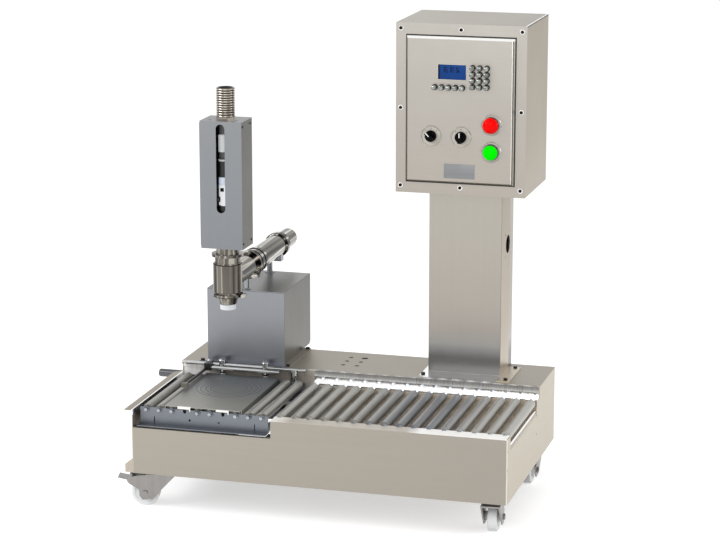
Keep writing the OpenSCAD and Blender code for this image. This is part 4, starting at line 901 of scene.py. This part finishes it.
def clamp_nut():
    """The nut of the lower clamp on its bolt."""
    bm = bmesh.new()
    x, z = HEAD_X + 46, BODY_Z - 2
    lathe(bm, [(0, -4), (3.2, -4), (3.6, -3.4), (3.6, 14), (0, 14)], (x, HEAD_Y - 11, z), (0, 1, 0), 20)
    lathe(bm, [(0, -9.5), (5.4, -9.5), (6.2, -8.6), (6.2, -1.2), (5.4, -0.4), (0, -0.4)],
          (x, HEAD_Y - 6, z), (0, 1, 0), 20)
    piece("clamp_nut", bm, finish("nut_steel", turned, "A8A59C", 0.25, "Y"), "filling_head")


def seam_lines():
    """Fold gaps of the lift housing, their shade drawn as narrow dark strips let into the edges."""
    bm = bmesh.new()
    y0, y1, z = LIFT_Y0, LIFT_Y1 - 8, LIFT_TOP
    for x in (LIFT_X0 + 0.2, LIFT_X1 - 0.8):
        slab(bm, (x, y0 + 2, z - 0.5), (x + 0.6, y1 - 2, z + 0.12))
    slab(bm, (LIFT_X0 + 2, y0 - 0.12, z - 2.2), (LIFT_X1 - 2, y0 + 0.3, z - 1.5))
    slab(bm, (LIFT_X1 - 0.3, y0 + 1.9, 309), (LIFT_X1 + 0.12, y0 + 2.6, z - 2))
    piece("housing_seams", bm, finish("seam_shadow", plastic, "2A2B2C", 0.6), "base")


def bay_shadows():
    """Painted shade: dark sheets put behind the slits of the weigh frame and at the corner of its bay."""
    bm = bmesh.new()
    for x in (WEIGH_X - 136, WEIGH_X + 138.5):
        slab(bm, (x - 4, 37, 230), (x + 4, 37.6, 250))
    slab(bm, (-141, 3, 221), (-121.8, 45, 222.4))
    piece("bay_lining", bm, finish("bay_shade_dark", plastic, "1B1A19", 0.6), "base")


def cover_screws():
    """Rounded heads with a socket over the cover's plain screws, and a bright washer under each."""
    heads, rings = bmesh.new(), bmesh.new()
    spots = [(k * 161, dz) for k in (-1, 0, 1) for dz in (18.7, 434)] + [(k * 161, 225.3) for k in (-1, 1)]
    for dx, dz in spots:
        x, z = CAB_X + dx, CAB_Z + dz
        lathe(heads, [(1.7, 0.2), (1.75, -0.3), (2.2, -0.6), (3.4, -0.55), (4.3, 0.1), (4.5, 0.9),
                      (4.5, 2.3)], (x, CAB_Y - 2.5, z), (0, 1, 0), 24)
        lathe(rings, [(4.7, -0.35), (6.3, -0.35), (6.6, -0.05), (4.7, -0.05), (4.7, -0.35)],
              (x, CAB_Y, z), (0, 1, 0), 28)
    piece("cover_washers", rings, finish("washer_bright", polished, "F4F2EE", 0.3), "base")
    piece("cover_screw_heads", heads, finish("head_black", polished, "1B1C1E", 0.3), "base")


def wheel_hubs():
    """A raised ring round the hub, on both sides of each wheel."""
    for corner, (cx, cy, turn) in CASTERS.items():
        bm = bmesh.new()
        a = math.radians(turn)
        wheel = (cx + TRAIL * math.cos(a), cy + TRAIL * math.sin(a), WHEEL_R)
        axis = Vector((-math.sin(a), math.cos(a), 0))
        for side in (-1, 1):
            lathe(bm, [(16, 9.95), (16, 11.4), (17.2, 12.0), (18.6, 11.4), (18.6, 9.95)],
                  wheel, axis * side, 40)
        piece(f"wheel_ribs_{corner}", bm, MADE["wheel_nylon"],
              f"caster_wheel_{corner}")


# the picture


def camera():
    """The photo's view, solved from its edges."""
    data = bpy.data.cameras.new("camera")
    data.lens = 122.43
    data.sensor_width = 36
    made = bpy.data.objects.new("camera", data)
    made.location = (1.7686, -6.1182, 2.0655)
    made.rotation_euler = (math.radians(90 - 13.06), 0, math.radians(15.69))
    bpy.context.scene.collection.objects.link(made)
    bpy.context.scene.camera = made


def lamp(name, where, target, size, watts):
    """A white rectangular lamp at one point that faces another."""
    data = bpy.data.lights.new(name, "AREA")
    data.shape = "RECTANGLE"
    data.size, data.size_y = size
    data.energy = watts
    made = bpy.data.objects.new(name, data)
    made.location = where
    made.rotation_euler = (Vector(target) - Vector(where)).to_track_quat("-Z", "Y").to_euler()
    bpy.context.scene.collection.objects.link(made)


def seen_rays(tree):
    """1 for rays that show a surface or the sky directly, in a mirror or through glass."""
    path = tree.nodes.new("ShaderNodeLightPath")
    total = path.outputs["Is Camera Ray"]
    for name in ("Is Glossy Ray", "Is Transmission Ray"):
        add = tree.nodes.new("ShaderNodeMath")
        add.operation = "MAXIMUM"
        tree.links.new(total, add.inputs[0])
        tree.links.new(path.outputs[name], add.inputs[1])
        total = add.outputs[0]
    return total


def white_for_seen(tree, other, seen):
    """Grey seen for the rays that show the surface or sky, grey other for the rest."""
    shade = tree.nodes.new("ShaderNodeMix")
    shade.data_type = "RGBA"
    shade.inputs[6].default_value = (other, other, other, 1)
    shade.inputs[7].default_value = (seen, seen, seen, 1)
    tree.links.new(seen_rays(tree), shade.inputs[0])
    return shade.outputs[2]


def sky():
    """A surround that lights softly and is seen white."""
    world = bpy.data.worlds.new("studio")
    world.use_nodes = True
    bpy.context.scene.world = world
    tree = world.node_tree
    tree.nodes.clear()
    light = tree.nodes.new("ShaderNodeBackground")
    tree.links.new(white_for_seen(tree, 0.62, 1.0), light.inputs["Color"])
    out = tree.nodes.new("ShaderNodeOutputWorld")
    tree.links.new(light.outputs[0], out.inputs["Surface"])


def studio_floor():
    """A plain white floor; a little of its white is its own, so its shadows stay soft."""
    bm = bmesh.new()
    bmesh.ops.create_grid(bm, x_segments=1, y_segments=1, size=30)
    data = bpy.data.meshes.new("floor")
    bm.to_mesh(data)
    bm.free()
    f = Finish("floor_paint")
    shader = f.node("ShaderNodeBsdfPrincipled", {}, {
        "Base Color": tint("E6E6E6"), "Roughness": 0.9, "Specular IOR Level": 0.0,
        "Emission Strength": 1.0})
    f.tree.links.new(white_for_seen(f.tree, 0.0, 0.52), shader.socket.node.inputs["Emission Color"])
    f.surface(shader)
    data.materials.append(f.material)
    floor = bpy.data.objects.new("floor", data)
    bpy.context.scene.collection.objects.link(floor)


def studio():
    """Soft light from the left, the front and the right, a white surround and a pale floor."""
    lamp("key_light", (-3.4, -2.4, 3.2), (0, 0, 0.6), (2.6, 2.2), 110)
    lamp("front_light", (0.8, -4.6, 2.6), (0, 0, 0.5), (3.0, 2.0), 45)
    lamp("side_light", (4.2, 0.2, 1.8), (0, 0, 0.6), (2.4, 2.0), 50)
    bpy.context.scene.view_settings.view_transform = "Standard"
    sky()
    studio_floor()


camera()
studio()
panel_finishes()
inner_finishes()
conveyor_finishes()
guide_finishes()
lift_finish()
pipe_finishes()
housing_finish()
actuator_finish()
column_finish()
cover_finish()
shell_finish()
control_finishes()
caster_finishes()
display_window()
key_caps()
button_caps()
button_skirts()
pointers()
legend_rims()
setting_marks()
door_seam()
label_plate()
slot_rim()
tube_ribs()
tube_lining()
pipe_seals()
clamp_nut()
seam_lines()
bay_shadows()
cover_screws()
wheel_hubs()
